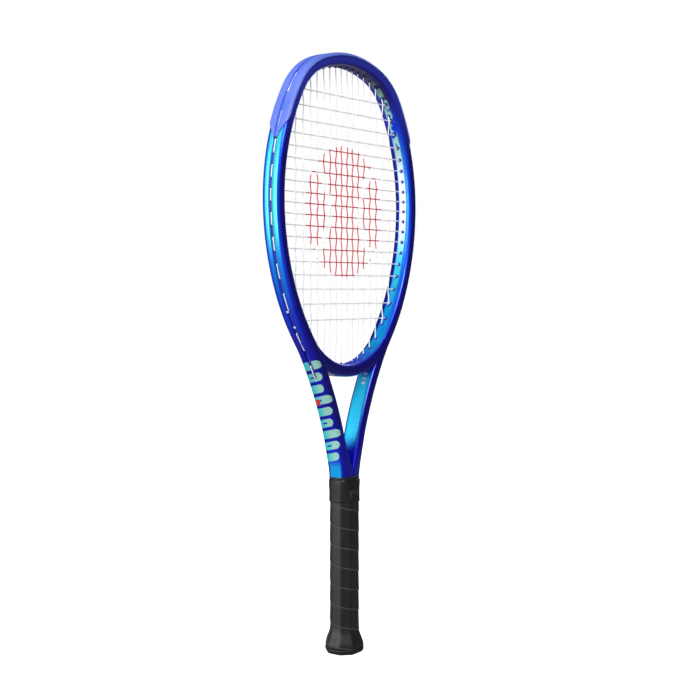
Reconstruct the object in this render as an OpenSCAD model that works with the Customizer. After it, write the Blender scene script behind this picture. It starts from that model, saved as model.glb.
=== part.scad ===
// Tennis racket: a hollow moulded frame with a throat bridge, strung with mains and crosses
// through moulded grommet strips, on an octagonal handle with a spiral grip and a butt cap.
// X runs across the string face, Y is normal to the strings, Z runs from the butt to the head tip.
// The origin is the centre of the butt's end face.

/* [Overall] */
// Length from the butt to the head tip
racket_length = 685; // [680:1:690]

/* [Frame tube] */
// Width of the tube in the plane of the strings
tube_width = 13; // [12:0.5:14]
// Depth of the tube, the beam of the racket
tube_depth = 25; // [23:0.5:27]
// Radius of the tube's four long corners
tube_corner = 5; // [4:0.5:6]
// Wall of the hollow tube
tube_wall = 1.6; // [1.2:0.1:2]
// Width of the groove that the outer string loops lie in
groove_width = 5.2; // [4.8:0.1:6]
// Depth of that groove
groove_depth = 2.4; // [2:0.1:2.6]

/* [Head outline] */
// Radius of the arc over the tip of the head
tip_radius = 154.5; // [152.5:0.5:156.5]
// Radius of the two shoulder arcs beside it
shoulder_radius = 78; // [76:1:80]
// Radius of the upper side arcs, down to the widest point
side_radius = 223; // [220:1:226]
// Radius of the lower side arcs, down to the throat
lower_radius = 252; // [248:1:256]

/* [Throat] */
// Straight run of each shaft below the bridge joint
shaft_lead = 14; // [12:1:16]
// Radius of the short bend below that run
bend_radius = 60; // [50:5:70]
// Radius of the long, nearly straight part of each shaft
run_radius = 430; // [420:5:435]
// Radius of the arc that turns each shaft into the handle
entry_radius = 260; // [255:5:265]
// Depth of the bridge across the throat
bridge_depth = 24; // [22:0.5:24.5]
// How much thicker the bridge is than the tube, on its throat side
bridge_extra = 1.5; // [0.5:0.5:2]

/* [Strings] */
// Diameter of the string
string_d = 1.3; // [1.2:0.05:1.35]
// Number of main strings on each side of the axis
mains_per_side = 8; // [8:1:8]
// Number of cross strings above the middle one, and below it
crosses_per_half = 9; // [9:1:9]

/* [Grommets] */
// Outside diameter of a grommet barrel
barrel_d = 3.2; // [3:0.1:3.4]
// Bore of a grommet barrel
barrel_bore_d = 1.7; // [1.6:0.05:1.8]
// How far a barrel stands out inside the hoop
barrel_stand = 1.8; // [1.5:0.1:2.2]
// Thickness of the strip in the groove
strip_base = 0.6; // [0.5:0.1:0.8]
// How far the bumper guard stands proud of the frame
bumper_proud = 1.5; // [1:0.1:2]

/* [Handle] */
// Height where the shafts end and the handle begins
handle_top = 204.5; // [202:0.5:208]
// Handle over the grip, across the string face
grip_x = 34; // [33:0.5:35]
// Handle over the grip, normal to the strings
grip_y = 31; // [30:0.5:32]
// Thickness of the wrapped grip
grip_wall = 2; // [1.6:0.1:2.2]
// Height where the butt's flare begins
flare_height = 28; // [26:1:30]
// How far the flare stands out from the handle at its widest
flare_out = 5.25; // [5:0.25:6]
// Height of the bare plastic foot below the wrapped grip
bare_foot = 6.5; // [6:0.5:7.5]
// Top of the wrapped grip, under the collar
wrap_top = 189; // [186:1:192]
// Foot of the rubber collar
collar_bottom = 175; // [172:1:178]

/* [Butt] */
// Radius of the trap door's rim
door_r = 9.4; // [8.5:0.1:9.6]
// Gap between the trap door and the butt cap
door_gap = 0.3; // [0.25:0.05:0.4]

/* [Hidden] */
$fn = 64;

half_w = tube_width / 2;
half_d = tube_depth / 2;
groove_floor = half_w - groove_depth;
strip_top = groove_floor + strip_base;
mouth = half_w + barrel_stand;
eps = 0.01;

// The outline's arcs join where their shared normal has these directions, as sine and cosine of
// the angle from the head tip. The numbers are exact fractions, so the arcs meet face to face.
tip_end = [0.352, 0.936];
shoulder_end = [0.8432, 0.5376];
widest = [1, 0];
joint = [0.8, -0.6];
bend_foot = [0.8432, -0.5376];
run_foot = [0.936, -0.352];

tip_z = racket_length - bumper_proud - half_w;
tip_centre = [0, tip_z - tip_radius];
shoulder_centre = tip_centre + (tip_radius - shoulder_radius) * tip_end;
side_centre = shoulder_centre + (shoulder_radius - side_radius) * shoulder_end;
lower_centre = side_centre + (side_radius - lower_radius) * widest;
joint_point = lower_centre + lower_radius * joint;
bridge_radius = joint_point[0] / joint[0];
bridge_centre = [0, joint_point[1] - bridge_radius * joint[1]];

function angle_of(direction) = atan2(direction[0], direction[1]);

// Each arc of the outline: radius, centre, and the angles of its two ends from the head tip
tip_arc = [tip_radius, tip_centre, 0, angle_of(tip_end)];
shoulder_arc = [shoulder_radius, shoulder_centre, angle_of(tip_end), angle_of(shoulder_end)];
side_arc = [side_radius, side_centre, angle_of(shoulder_end), 90];
lower_arc = [lower_radius, lower_centre, 90, angle_of(joint)];
bridge_arc = [bridge_radius, bridge_centre, angle_of(joint), 180];
side_arcs = [shoulder_arc, side_arc, lower_arc];
half_arcs = [tip_arc, shoulder_arc, side_arc, lower_arc];

function normal(phi) = [sin(phi), cos(phi)];
function arc_point(arc, phi, u) = arc[1] + (arc[0] + u) * normal(phi);

// The shaft below the joint: a straight lead, a short bend, a long run and the entry arc
lead_end = joint_point + shaft_lead * [joint[1], -joint[0]];
bend_centre = lead_end + bend_radius * joint;
bend_end = bend_centre - bend_radius * bend_foot;
run_centre = bend_end + run_radius * bend_foot;
run_end = run_centre - run_radius * run_foot;
entry_centre = run_end + entry_radius * run_foot;
shaft_offset = entry_centre[0] - entry_radius;

// Slope from the racket's axis at a direction of the outward normal
function slope_of(direction) = atan2(-direction[1], direction[0]);
// Slope where the grommet strip and its groove end, down the long run
strip_end_slope = 27.3;

// String places: mains spread a little towards the sides, crosses towards tip and throat, and
// more so below the middle
function main_x(i) = 5.5 + 10.2 * i + 0.27 * i * i;
function cross_z(j) = 513 + (j > 0 ? 11.6 : 12.1) * j + 0.027 * j * j * j;
main_y = 0.66;
cross_y = -0.66;
loop_u = strip_top + string_d / 2 + 0.5;

// Holes of the outline, each as [arc, angle]: where a string meets the barrels' mouths
function hits_x(arcs, x) = [
    for (a = arcs)
        let (s = (x - a[1][0]) / (a[0] - mouth), phi = a[3] > 91 ? 180 - asin(s) : asin(s))
        if (abs(s) < 1 && phi >= a[2] && phi < a[3]) [a, phi]
];
function hits_z(arcs, z) = [
    for (a = arcs)
        let (c = (z - a[1][1]) / (a[0] - mouth), phi = acos(c))
        if (abs(c) < 1 && phi >= a[2] && phi < a[3]) [a, phi]
];
function main_top(i) = hits_x([tip_arc, shoulder_arc, side_arc], main_x(i))[0];
function main_bottom(i) = hits_x([lower_arc, bridge_arc], main_x(i))[0];
function cross_end(j) = hits_z(side_arcs, cross_z(j))[0];

// The bumper guard reaches down to this angle on each side
bumper_end = 73.7398;
bridge_mains = 3;
shoulder_mains = [3, 4, 5];

// A shoulder main leaves the bridge joint through the shaft: its direction and its exit
function shoulder_direction(i) = normal(i == 3 ? 146 : main_bottom(i)[1]);
function mouth_point(hole) = arc_point(hole[0], hole[1], -mouth);

// Distance along a ray from p to the outer wall of the long run, or of the lead, offset by u
function run_cut(p, d, u) =
    let (q = p - run_centre, b = q * d)
    -b - sqrt(b * b - q * q + (run_radius - u) * (run_radius - u));
function lead_cut(p, d, u) = ((joint_point + u * joint - p) * joint) / (d * joint);
function shoulder_reach(i, u) =
    let (p = mouth_point(main_bottom(i)), d = shoulder_direction(i))
    i == 5 ? lead_cut(p, d, u) : run_cut(p, d, u);

// ---- building blocks ----

// The part of a ring of the given section between two angles from the head tip
module sweep(arc, from, to) {
    translate([arc[1][0], 0, arc[1][1]])
        rotate([90, 0, 0])
            rotate_extrude(angle = to - from, start = 90 - to)
                translate([arc[0], 0])
                    children();
}

// A bend whose centre lies outside the racket, between two slopes from the axis
module outer_sweep(centre, radius, from, to) {
    translate([centre[0], 0, centre[1]])
        rotate([90, 0, 0])
            rotate_extrude(angle = to - from, start = 180 - to)
                translate([radius, 0])
                    mirror([1, 0])
                        children();
}

// A straight run of the section, down from a point at a slope
module straight(point, slope, length) {
    translate([point[0], 0, point[1]])
        rotate([0, slope, 0])
            mirror([0, 0, 1])
                linear_extrude(length)
                    children();
}

module rounded(hx, hy, r) {
    square([2 * hx - 2 * r, 2 * hy], center = true);
    square([2 * hx, 2 * hy - 2 * r], center = true);
    for (sx = [-1, 1], sy = [-1, 1])
        translate([sx * (hx - r), sy * (hy - r)])
            circle(r);
}

// Groove in the outer wall of the tube, and its slot for cutting
module groove_slot(depth, width) {
    translate([half_w - depth, -width / 2])
        square([depth + 1, width]);
}

module tube_outline() {
    rounded(half_w, half_d, tube_corner);
}

module tube_section(grooved) {
    difference() {
        tube_outline();
        if (grooved)
            groove_slot(groove_depth, groove_width);
        difference() {
            rounded(half_w - tube_wall, half_d - tube_wall, tube_corner - tube_wall);
            groove_slot(groove_depth + tube_wall, groove_width + 2 * tube_wall);
        }
    }
}

// A rod between two points of the string plane, at height y from it
module rod(p, q, r, y) {
    d = q - p;
    translate([p[0], y, p[1]])
        rotate([0, atan2(d[0], d[1]), 0])
            cylinder(h = norm(d), r = r);
}

module both_sides() {
    children();
    mirror([1, 0, 0])
        children();
}

// Radial rod through the outline at a hole, between two offsets from the centreline
module hole_rod(hole, r, y, from, to) {
    rod(arc_point(hole[0], hole[1], from), arc_point(hole[0], hole[1], to), r, y);
}

module shoulder_rod(i, r, y, u, extra) {
    p = mouth_point(main_bottom(i));
    d = shoulder_direction(i);
    rod(p - extra * d, p + (shoulder_reach(i, u) + extra) * d, r, y);
}

// Rods at every hole of one side that the bumper guard serves, and at the others
module upper_rods(r, from, to) {
    for (i = [0 : mains_per_side - 1])
        hole_rod(main_top(i), r, main_y, from, to);
    for (j = [6 : crosses_per_half])
        hole_rod(cross_end(j), r, cross_y, from, to);
}

module lower_rods(r, from, to) {
    for (i = [6 : mains_per_side - 1])
        hole_rod(main_bottom(i), r, main_y, from, to);
    for (j = [-crosses_per_half : 5])
        hole_rod(cross_end(j), r, cross_y, from, to);
}

module shoulder_rods(r, u, extra) {
    for (i = shoulder_mains)
        shoulder_rod(i, r, main_y, u, extra);
}

// ---- frame ----

module hoop_sweep() {
    both_sides()
        for (arc = half_arcs)
            sweep(arc, arc[2], arc[3])
                children();
}

module head_hoop() {
    color("mediumblue")
        difference() {
            hoop_sweep()
                tube_section(true);
            both_sides() {
                upper_rods(barrel_d / 2, -half_w - 2, half_w + 2);
                lower_rods(barrel_d / 2, -half_w - 2, half_w + 2);
            }
        }
}

// Shaft from the bridge joint to below the handle's top
module shaft_sweep() {
    straight(joint_point, slope_of(joint), shaft_lead)
        children();
    outer_sweep(bend_centre, bend_radius, slope_of(bend_foot), slope_of(joint))
        children();
    outer_sweep(run_centre, run_radius, slope_of(run_foot), slope_of(bend_foot))
        children();
    outer_sweep(entry_centre, entry_radius, 0, slope_of(run_foot))
        children();
}

// The upper part of the shaft's path, as far as its groove goes
module shaft_groove_sweep() {
    straight(joint_point, slope_of(joint), shaft_lead)
        children();
    outer_sweep(bend_centre, bend_radius, slope_of(bend_foot), slope_of(joint))
        children();
    outer_sweep(run_centre, run_radius, strip_end_slope, slope_of(bend_foot))
        children();
}

// Where the two shafts close in a V at the foot of the throat: the height of its point and of
// its two arms above the handle's top, and how far the arms reach from the axis
web_point = 8;
web_rise = 40;
web_reach = 11.9;

module throat_web() {
    rotate([90, 0, 0])
        linear_extrude(2 * (half_d - 1.5), center = true)
            polygon([[0, handle_top], [shaft_offset - 4, handle_top],
                     [web_reach + 1, handle_top + web_rise], [web_reach, handle_top + web_rise],
                     [0, handle_top + web_point]]);
}

module throat_shaft() {
    color("blue")
        difference() {
            union() {
                shaft_sweep()
                    tube_section(false);
                throat_web();
            }
            shaft_groove_sweep()
                groove_slot(groove_depth, groove_width);
            shoulder_rods(barrel_d / 2, half_w, 3);
            translate([-50, -50, handle_top - 100])
                cube([100, 100, 100]);
        }
}

module throat_shaft_right() {
    throat_shaft();
}

module throat_shaft_left() {
    mirror([1, 0, 0])
        throat_shaft();
}

bridge_low = half_w + bridge_extra;

module bridge_outline() {
    translate([bridge_extra / 2, 0])
        rounded(half_w + bridge_extra / 2, bridge_depth / 2, tube_corner);
}

module bridge_section() {
    difference() {
        bridge_outline();
        translate([bridge_low - groove_depth, -groove_width / 2])
            square([groove_depth + 1, groove_width]);
        difference() {
            translate([bridge_extra / 2, 0])
                rounded(half_w + bridge_extra / 2 - tube_wall, bridge_depth / 2 - tube_wall,
                        tube_corner - tube_wall);
            translate([bridge_low - groove_depth - tube_wall, -groove_width / 2 - tube_wall])
                square([groove_depth + 3, groove_width + 2 * tube_wall]);
        }
    }
}

// Where the bridge's ends lie inside the shafts: as an angle, and as a distance from the axis
bridge_start = 135;
bridge_reach = 67.5;

module throat_bridge() {
    color("navy")
        difference() {
            sweep(bridge_arc, bridge_start, 360 - bridge_start)
                bridge_section();
            both_sides()
                translate([bridge_reach, -tube_depth, 0])
                    cube([2 * tube_width, 2 * tube_depth, racket_length]);
            both_sides() {
                shaft_sweep()
                    tube_outline();
                shoulder_rods(barrel_d / 2, half_w, 3);
                for (i = [0 : bridge_mains - 1])
                    hole_rod(main_bottom(i), barrel_d / 2, main_y, -half_w - 2, bridge_low + 2);
            }
        }
}

// ---- grommets and bumper ----

module strip_section() {
    translate([groove_floor, -groove_width / 2])
        square([strip_base, groove_width]);
}

// Bumper guard: a skin over the outer wall with a lined channel for the strings
module bumper_section() {
    channel = groove_width / 2 - strip_base;
    difference() {
        union() {
            difference() {
                rounded(half_w + bumper_proud, half_d + bumper_proud, tube_corner + bumper_proud);
                tube_outline();
                translate([-2 * tube_width, -2 * tube_depth])
                    square([2 * tube_width + half_w - 2, 4 * tube_depth]);
            }
            translate([groove_floor, -groove_width / 2])
                square([groove_depth + bumper_proud / 2, groove_width]);
        }
        translate([strip_top, -channel])
            square([groove_depth + 2 * bumper_proud, 2 * channel]);
    }
}

module head_bumper_guard() {
    color("slateblue")
        difference() {
            union() {
                both_sides() {
                    sweep(tip_arc, tip_arc[2], tip_arc[3])
                        bumper_section();
                    sweep(shoulder_arc, shoulder_arc[2], shoulder_arc[3])
                        bumper_section();
                    sweep(side_arc, side_arc[2], bumper_end)
                        bumper_section();
                    upper_rods(barrel_d / 2, -mouth, strip_top - 0.2);
                }
            }
            both_sides()
                upper_rods(barrel_bore_d / 2, -mouth - 1, strip_top + 2);
        }
}

module grommet_strip() {
    color("darkslateblue")
        difference() {
            union() {
                sweep(side_arc, bumper_end, side_arc[3])
                    strip_section();
                sweep(lower_arc, lower_arc[2], lower_arc[3])
                    strip_section();
                shaft_groove_sweep()
                    strip_section();
                lower_rods(barrel_d / 2, -mouth, strip_top - 0.2);
                shoulder_rods(barrel_d / 2, groove_floor + 0.3, 0);
            }
            lower_rods(barrel_bore_d / 2, -mouth - 1, strip_top + 2);
            shoulder_rods(barrel_bore_d / 2, strip_top, 1);
        }
}

module grommet_strip_right() {
    grommet_strip();
}

module grommet_strip_left() {
    mirror([1, 0, 0])
        grommet_strip();
}

bridge_strip_end = 158;
bridge_floor = bridge_low - groove_depth;

module bridge_grommet_strip() {
    color("darkslateblue")
        difference() {
            union() {
                sweep(bridge_arc, bridge_strip_end, 360 - bridge_strip_end)
                    translate([bridge_floor, -groove_width / 2])
                        square([strip_base, groove_width]);
                both_sides()
                    for (i = [0 : bridge_mains - 1])
                        hole_rod(main_bottom(i), barrel_d / 2, main_y, -mouth, bridge_floor + 0.4);
            }
            both_sides()
                for (i = [0 : bridge_mains - 1])
                    hole_rod(main_bottom(i), barrel_bore_d / 2, main_y, -mouth - 1, bridge_low);
        }
}

// ---- strings ----

string_r = string_d / 2;
// A string is drawn a little thinner through the barrels, so its joints there are clean
thread_r = 0.5;
join = 0.5;

// Offset of the loops outside the frame at each kind of hole
bridge_loop_u = loop_u + bridge_extra;
last_main = mains_per_side - 1;

// The last loop round each shoulder stands a little higher, to clear the curve between its holes
shoulder_lift = 0.15;

function flip(p) = [-p[0], p[1]];
function top_exit(i) =
    arc_point(main_top(i)[0], main_top(i)[1], loop_u + (i >= last_main - 1 ? shoulder_lift : 0));
function bottom_exit(i) =
    i < bridge_mains ? arc_point(main_bottom(i)[0], main_bottom(i)[1], bridge_loop_u)
    : i < 6 ? mouth_point(main_bottom(i)) + shoulder_reach(i, loop_u) * shoulder_direction(i)
    : arc_point(main_bottom(i)[0], main_bottom(i)[1], loop_u);
function cross_exit(j) = arc_point(cross_end(j)[0], cross_end(j)[1], loop_u);

// Tie-off knots: how far each stands above the loops, and how far it sits to the side of its
// string, away from the loops that pass beside it
knot_r = 1.15;
strip_knot_lift = 0.03;
bumper_knot_lift = 0.95;
main_knot_y = main_y + 0.46;
cross_knot_y = cross_y - 0.18;

// Where a knot's centre is, and where the string that it ties off ends just under it
function knot_place(hole, lift) = arc_point(hole[0], hole[1], loop_u + lift);
function tied_end(hole, lift) = arc_point(hole[0], hole[1], loop_u + lift - knot_r);

// A full-thickness stretch of string that runs a little past both of its ends
module stretch(p, q, y) {
    d = join * (q - p) / norm(q - p);
    rod(p - d, q + d, string_r, y);
}

module half_mains() {
    for (i = [0 : last_main]) {
        top = mouth_point(main_top(i));
        low = mouth_point(main_bottom(i));
        stretch(low, top, main_y);
        rod(top, top_exit(i), thread_r, main_y);
        rod(low, i == last_main ? tied_end(main_bottom(i), strip_knot_lift) : bottom_exit(i),
            thread_r, main_y);
    }
    for (i = [0 : 2 : last_main - 1])
        stretch(top_exit(i), top_exit(i + 1), main_y);
    for (i = [1 : 2 : last_main - 1])
        stretch(bottom_exit(i), bottom_exit(i + 1), main_y);
}

module main_strings() {
    color("white") {
        both_sides()
            half_mains();
        stretch(flip(bottom_exit(0)), bottom_exit(0), main_y);
    }
}

// The crosses zigzag down the head, with a loop on alternate sides after each one
module cross_strings() {
    color("whitesmoke")
        for (j = [-crosses_per_half : crosses_per_half]) {
            hole = cross_end(j);
            inner = mouth_point(hole);
            outer = cross_exit(j);
            side = (j + crosses_per_half) % 2 == 0 ? 1 : -1;
            first = j == -crosses_per_half;
            last = j == crosses_per_half;
            stretch(flip(inner), inner, cross_y);
            for (s = [-1, 1]) {
                tip = first && s == -side ? tied_end(hole, strip_knot_lift)
                    : last && s == side ? tied_end(hole, bumper_knot_lift)
                    : outer;
                rod([s * inner[0], inner[1]], [s * tip[0], tip[1]], thread_r, cross_y);
            }
            if (!last) {
                next = cross_exit(j + 1);
                stretch([side * outer[0], outer[1]], [side * next[0], next[1]], cross_y);
            }
        }
}

module knot(point, y) {
    translate([point[0], y, point[1]])
        sphere(knot_r);
}

module string_knots() {
    tie = knot_place(main_bottom(last_main), strip_knot_lift);
    color("white") {
        knot(flip(knot_place(cross_end(-crosses_per_half), strip_knot_lift)), cross_knot_y);
        knot(knot_place(cross_end(crosses_per_half), bumper_knot_lift), cross_knot_y);
        knot(tie, main_knot_y);
        knot(flip(tie), main_knot_y);
    }
}

// ---- handle ----

bevel = 0.29;

module octagon(x, y) {
    cut = bevel * min(x, y);
    polygon([for (s = [[1, 1], [-1, 1], [-1, -1], [1, -1]])
        each s[0] * s[1] > 0
            ? [[s[0] * x / 2, s[1] * (y / 2 - cut)], [s[0] * (x / 2 - cut), s[1] * y / 2]]
            : [[s[0] * (x / 2 - cut), s[1] * y / 2], [s[0] * x / 2, s[1] * (y / 2 - cut)]]]);
}

module prism(x, y, from, to) {
    translate([0, 0, from])
        linear_extrude(to - from)
            octagon(x, y);
}

// An octagonal frustum between two heights
module flare(x0, y0, z0, x1, y1, z1) {
    hull() {
        prism(x0, y0, z0, z0 + eps);
        prism(x1, y1, z1 - eps, z1);
    }
}

pallet_x = grip_x - 2 * grip_wall;
pallet_y = grip_y - 2 * grip_wall;
tube_x = 9.5;
tube_y = 15;
tube_place = 6;
tube_round = 3;
tube_bottom = 14;
pallet_bottom = 9;
cap_wall = 1.6;
cap_skirt_top = 34;
cap_floor = 3;
flare_z = 8;
cap_x = pallet_x + 2 * flare_out;
cap_y = pallet_y + 2 * flare_out;
rim_round = 3;
door_rim = 1.2;
door_step = 1.5;
door_height = 5.5;

module handle_tubes() {
    color("dimgray")
        translate([0, 0, tube_bottom])
            linear_extrude(handle_top - tube_bottom)
                for (s = [-1, 1])
                    translate([s * tube_place, 0])
                        difference() {
                            rounded(tube_x / 2, tube_y / 2, tube_round);
                            rounded(tube_x / 2 - tube_wall, tube_y / 2 - tube_wall,
                                    tube_round - tube_wall);
                        }
}

// One of the two shells that make the handle's octagon around the tubes
module pallet() {
    difference() {
        prism(pallet_x, pallet_y, pallet_bottom, handle_top);
        for (s = [-1, 1])
            translate([s * tube_place, 0, 0])
                linear_extrude(2 * handle_top)
                    rounded(tube_x / 2, tube_y / 2, tube_round);
        translate([-tube_place, -tube_y / 4, 0])
            cube([2 * tube_place, tube_y / 2, 2 * handle_top]);
        translate([-pallet_x, 0, 0])
            cube([2 * pallet_x, pallet_y, 2 * handle_top]);
        linear_extrude(cap_skirt_top)
            difference() {
                octagon(pallet_x + 5, pallet_y + 5);
                octagon(pallet_x - 2 * cap_wall, pallet_y - 2 * cap_wall);
            }
        staples();
        tack();
    }
}

module pallet_front() {
    color("gray")
        pallet();
}

module pallet_back() {
    color("darkgray")
        mirror([0, 1, 0])
            pallet();
}

module cap_body() {
    flare(cap_x - 2 * rim_round, cap_y - 2 * rim_round, 0, cap_x, cap_y, rim_round);
    prism(cap_x, cap_y, rim_round, flare_z);
    flare(cap_x, cap_y, flare_z, pallet_x, pallet_y, flare_height);
    prism(pallet_x, pallet_y, flare_height, cap_skirt_top);
}

// Butt cap: an octagonal cup with a flared foot and a round door opening
module butt_cap() {
    color("black")
        difference() {
            cap_body();
            prism(pallet_x - 2 * cap_wall, pallet_y - 2 * cap_wall, cap_floor, 2 * cap_skirt_top);
            translate([0, 0, -1])
                cylinder(h = door_rim + 1, r = door_r + door_gap);
            translate([0, 0, -1])
                cylinder(h = 2 * cap_floor, r = door_r - door_step + door_gap);
            staples();
        }
}

// The trap door: a shallow plug with a rim that sits in the butt's end face
module butt_trap_door() {
    color("darkslategray")
        difference() {
            union() {
                cylinder(h = door_rim - door_gap, r = door_r);
                cylinder(h = door_height, r = door_r - door_step);
            }
            translate([0, 0, door_rim])
                cylinder(h = door_height, r = door_r - 2 * door_step);
        }
}

staple_z = 31;
staple_span = 8;
wire_r = 0.3;
leg_length = 3;

// A staple through each broad side of the cap's skirt: a crown and two legs
module staples() {
    face = pallet_y / 2;
    for (side = [-1, 1]) {
        for (s = [-1, 1])
            translate([s * staple_span / 2, side * (face - leg_length / 2), staple_z])
                rotate([90, 0, 0])
                    cylinder(h = leg_length, r = wire_r, center = true);
        translate([0, side * (face - wire_r), staple_z])
            cube([staple_span, 2 * wire_r, 2 * wire_r], center = true);
    }
}

module butt_staples() {
    color("silver")
        staples();
}

tack_z = 44;

// The tack that holds the end of the grip: a flat head and a short nail
module tack() {
    face = pallet_y / 2;
    translate([0, -face + 0.5, tack_z])
        rotate([90, 0, 0])
            cylinder(h = 0.5, r = 2);
    translate([0, -face + 4.5, tack_z])
        rotate([90, 0, 0])
            cylinder(h = 4, r = 0.6);
}

module grip_tack() {
    color("silver")
        tack();
}

// The wrapped grip: an even sleeve over the pallets that follows the cap's flare
module base_grip() {
    wide_x = cap_x + 2 * grip_wall;
    wide_y = cap_y + 2 * grip_wall;
    color("black")
        difference() {
            union() {
                prism(wide_x, wide_y, bare_foot, flare_z + 1);
                flare(wide_x, wide_y, flare_z + 1, grip_x, grip_y, flare_height + 1);
                prism(grip_x, grip_y, flare_height, wrap_top);
            }
            prism(pallet_x, pallet_y, cap_skirt_top - 1, wrap_top + 1);
            cap_body();
        }
}

tape_wall = 0.3;
tape_bottom = 179;

// Adhesive tape that ties down the end of the wrap
module finishing_tape() {
    color("dimgray")
        difference() {
            prism(grip_x + 2 * tape_wall, grip_y + 2 * tape_wall, tape_bottom, wrap_top);
            prism(grip_x, grip_y, tape_bottom - 1, wrap_top + 1);
        }
}

collar_lip = 3.5;
collar_wall = 0.8;
collar_x = 18.4;
collar_y = 14.6;
collar_round = 8;
lip_in = 0.5;

// Rubber collar that covers the end of the wrap and meets the shafts
module grip_collar() {
    shoulder = handle_top - collar_lip;
    sleeve_x = grip_x + 2 * tape_wall;
    sleeve_y = grip_y + 2 * tape_wall;
    color("black")
        difference() {
            union() {
                hull() {
                    prism(grip_x + 2 * collar_wall, grip_y + 2 * collar_wall,
                          collar_bottom, collar_bottom + eps);
                    translate([0, 0, shoulder - 2])
                        linear_extrude(2)
                            rounded(collar_x, collar_y, collar_round, $fn = 32);
                }
                translate([0, 0, shoulder])
                    linear_extrude(collar_lip)
                        rounded(collar_x - lip_in, collar_y - lip_in, collar_round - lip_in);
            }
            prism(grip_x, grip_y, collar_bottom - 1, wrap_top);
            prism(sleeve_x, sleeve_y, tape_bottom, wrap_top);
            prism(pallet_x, pallet_y, wrap_top - 1, handle_top + 1);
        }
}

head_hoop();
throat_shaft_left();
throat_shaft_right();
throat_bridge();
handle_tubes();
pallet_front();
pallet_back();
butt_cap();
butt_trap_door();
butt_staples();
grip_tack();
base_grip();
finishing_tape();
grip_collar();
head_bumper_guard();
grommet_strip_left();
grommet_strip_right();
bridge_grommet_strip();
main_strings();
cross_strings();
string_knots();
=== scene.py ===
"""The looks of a strung tennis racket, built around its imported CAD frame."""
import math

import bpy
import numpy as np
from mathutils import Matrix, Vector


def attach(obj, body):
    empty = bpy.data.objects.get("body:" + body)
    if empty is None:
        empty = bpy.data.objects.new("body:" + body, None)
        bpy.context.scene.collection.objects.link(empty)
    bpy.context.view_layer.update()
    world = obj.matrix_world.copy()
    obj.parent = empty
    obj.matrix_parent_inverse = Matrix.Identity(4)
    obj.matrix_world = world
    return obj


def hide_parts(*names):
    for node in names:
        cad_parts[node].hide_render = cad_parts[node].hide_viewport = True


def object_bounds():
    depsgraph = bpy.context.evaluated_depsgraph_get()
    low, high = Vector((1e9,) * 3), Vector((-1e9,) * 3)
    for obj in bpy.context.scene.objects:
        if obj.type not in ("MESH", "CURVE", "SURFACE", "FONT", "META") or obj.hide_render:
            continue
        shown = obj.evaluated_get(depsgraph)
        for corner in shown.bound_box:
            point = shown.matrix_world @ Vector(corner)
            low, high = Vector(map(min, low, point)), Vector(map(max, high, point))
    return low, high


MM = 0.001

# ---- Design values, in millimetres: the CAD's own, or a little inside them ----
TUBE_HALF_W = 6.5
TUBE_HALF_D = 12.5
TUBE_CORNER, CORNER_STEPS = 5.0, 8
GROOVE_WIDTH = 5.2
GROOVE_DEPTH = 2.4
BUMPER_PROUD = 1.5
TIP_RADIUS, SHOULDER_RADIUS, SIDE_RADIUS, LOWER_RADIUS = 154.5, 78.0, 223.0, 252.0
SHAFT_LEAD, BEND_RADIUS, RUN_RADIUS, ENTRY_RADIUS = 14.0, 60.0, 430.0, 260.0
TIP_END = (0.352, 0.936)
SHOULDER_END = (0.8432, 0.5376)
JOINT = (0.8, -0.6)
BEND_FOOT = (0.8432, -0.5376)
RUN_FOOT = (0.936, -0.352)
BRIDGE_EXTRA = 1.5
BRIDGE_DEPTH = 24.0
BUMPER_END = 73.74
STRIP_BASE = 0.6
STRIP_END_SLOPE = 27.3
STRING_R = 0.65
WEAVE = 0.66
BARREL_STAND = 1.8
HANDLE_TOP = 204.5
GRIP_X, GRIP_Y = 34.0, 31.0
GRIP_WALL = 2.0
FLARE_OUT = 5.25
FLARE_Z = 8.0
FLARE_TOP = 31.0
BARE_FOOT = 6.5
WRAP_TOP = 189.0
SKIRT_TOP = 34.0
COLLAR_BOTTOM = 175.0
COLLAR_X, COLLAR_Y, COLLAR_WALL = 18.5, 14.8, 0.7
DOOR_R, DOOR_GAP, DOOR_RIM, DOOR_STEP, DOOR_HEIGHT = 9.4, 0.3, 1.2, 1.5, 5.5
MAINS_PER_SIDE = 8
CROSSES_PER_HALF = 9
BRIDGE_MAINS = 3

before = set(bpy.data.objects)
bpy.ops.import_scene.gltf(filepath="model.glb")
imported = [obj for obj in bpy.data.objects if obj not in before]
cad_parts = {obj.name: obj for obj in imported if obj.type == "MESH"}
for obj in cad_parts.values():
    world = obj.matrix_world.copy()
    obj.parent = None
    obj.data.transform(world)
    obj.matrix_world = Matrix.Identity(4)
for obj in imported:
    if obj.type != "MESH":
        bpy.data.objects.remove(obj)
cad_low, cad_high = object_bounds()
RACKET_LENGTH = (cad_high.z - cad_low.z) / MM


def main_x(i):
    return 5.5 + 10.2 * i + 0.27 * i * i


def cross_z(j):
    return 513.0 + (11.6 if j > 0 else 12.1) * j + 0.027 * j ** 3


# ---- The outline, as arcs in the X-Z plane ----
def angle_of(direction):
    return math.degrees(math.atan2(direction[0], direction[1]))


def normal_at(phi):
    return np.array([math.sin(math.radians(phi)), math.cos(math.radians(phi))])


class Arc:
    """A stretch of the outline: radius, centre, and its two ends as angles from the head tip."""

    def __init__(self, radius, centre, start, end):
        self.radius, self.centre, self.start, self.end = radius, np.array(centre, float), start, end

    def point(self, phi, offset=0.0):
        return self.centre + (self.radius + offset) * normal_at(phi)


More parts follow.
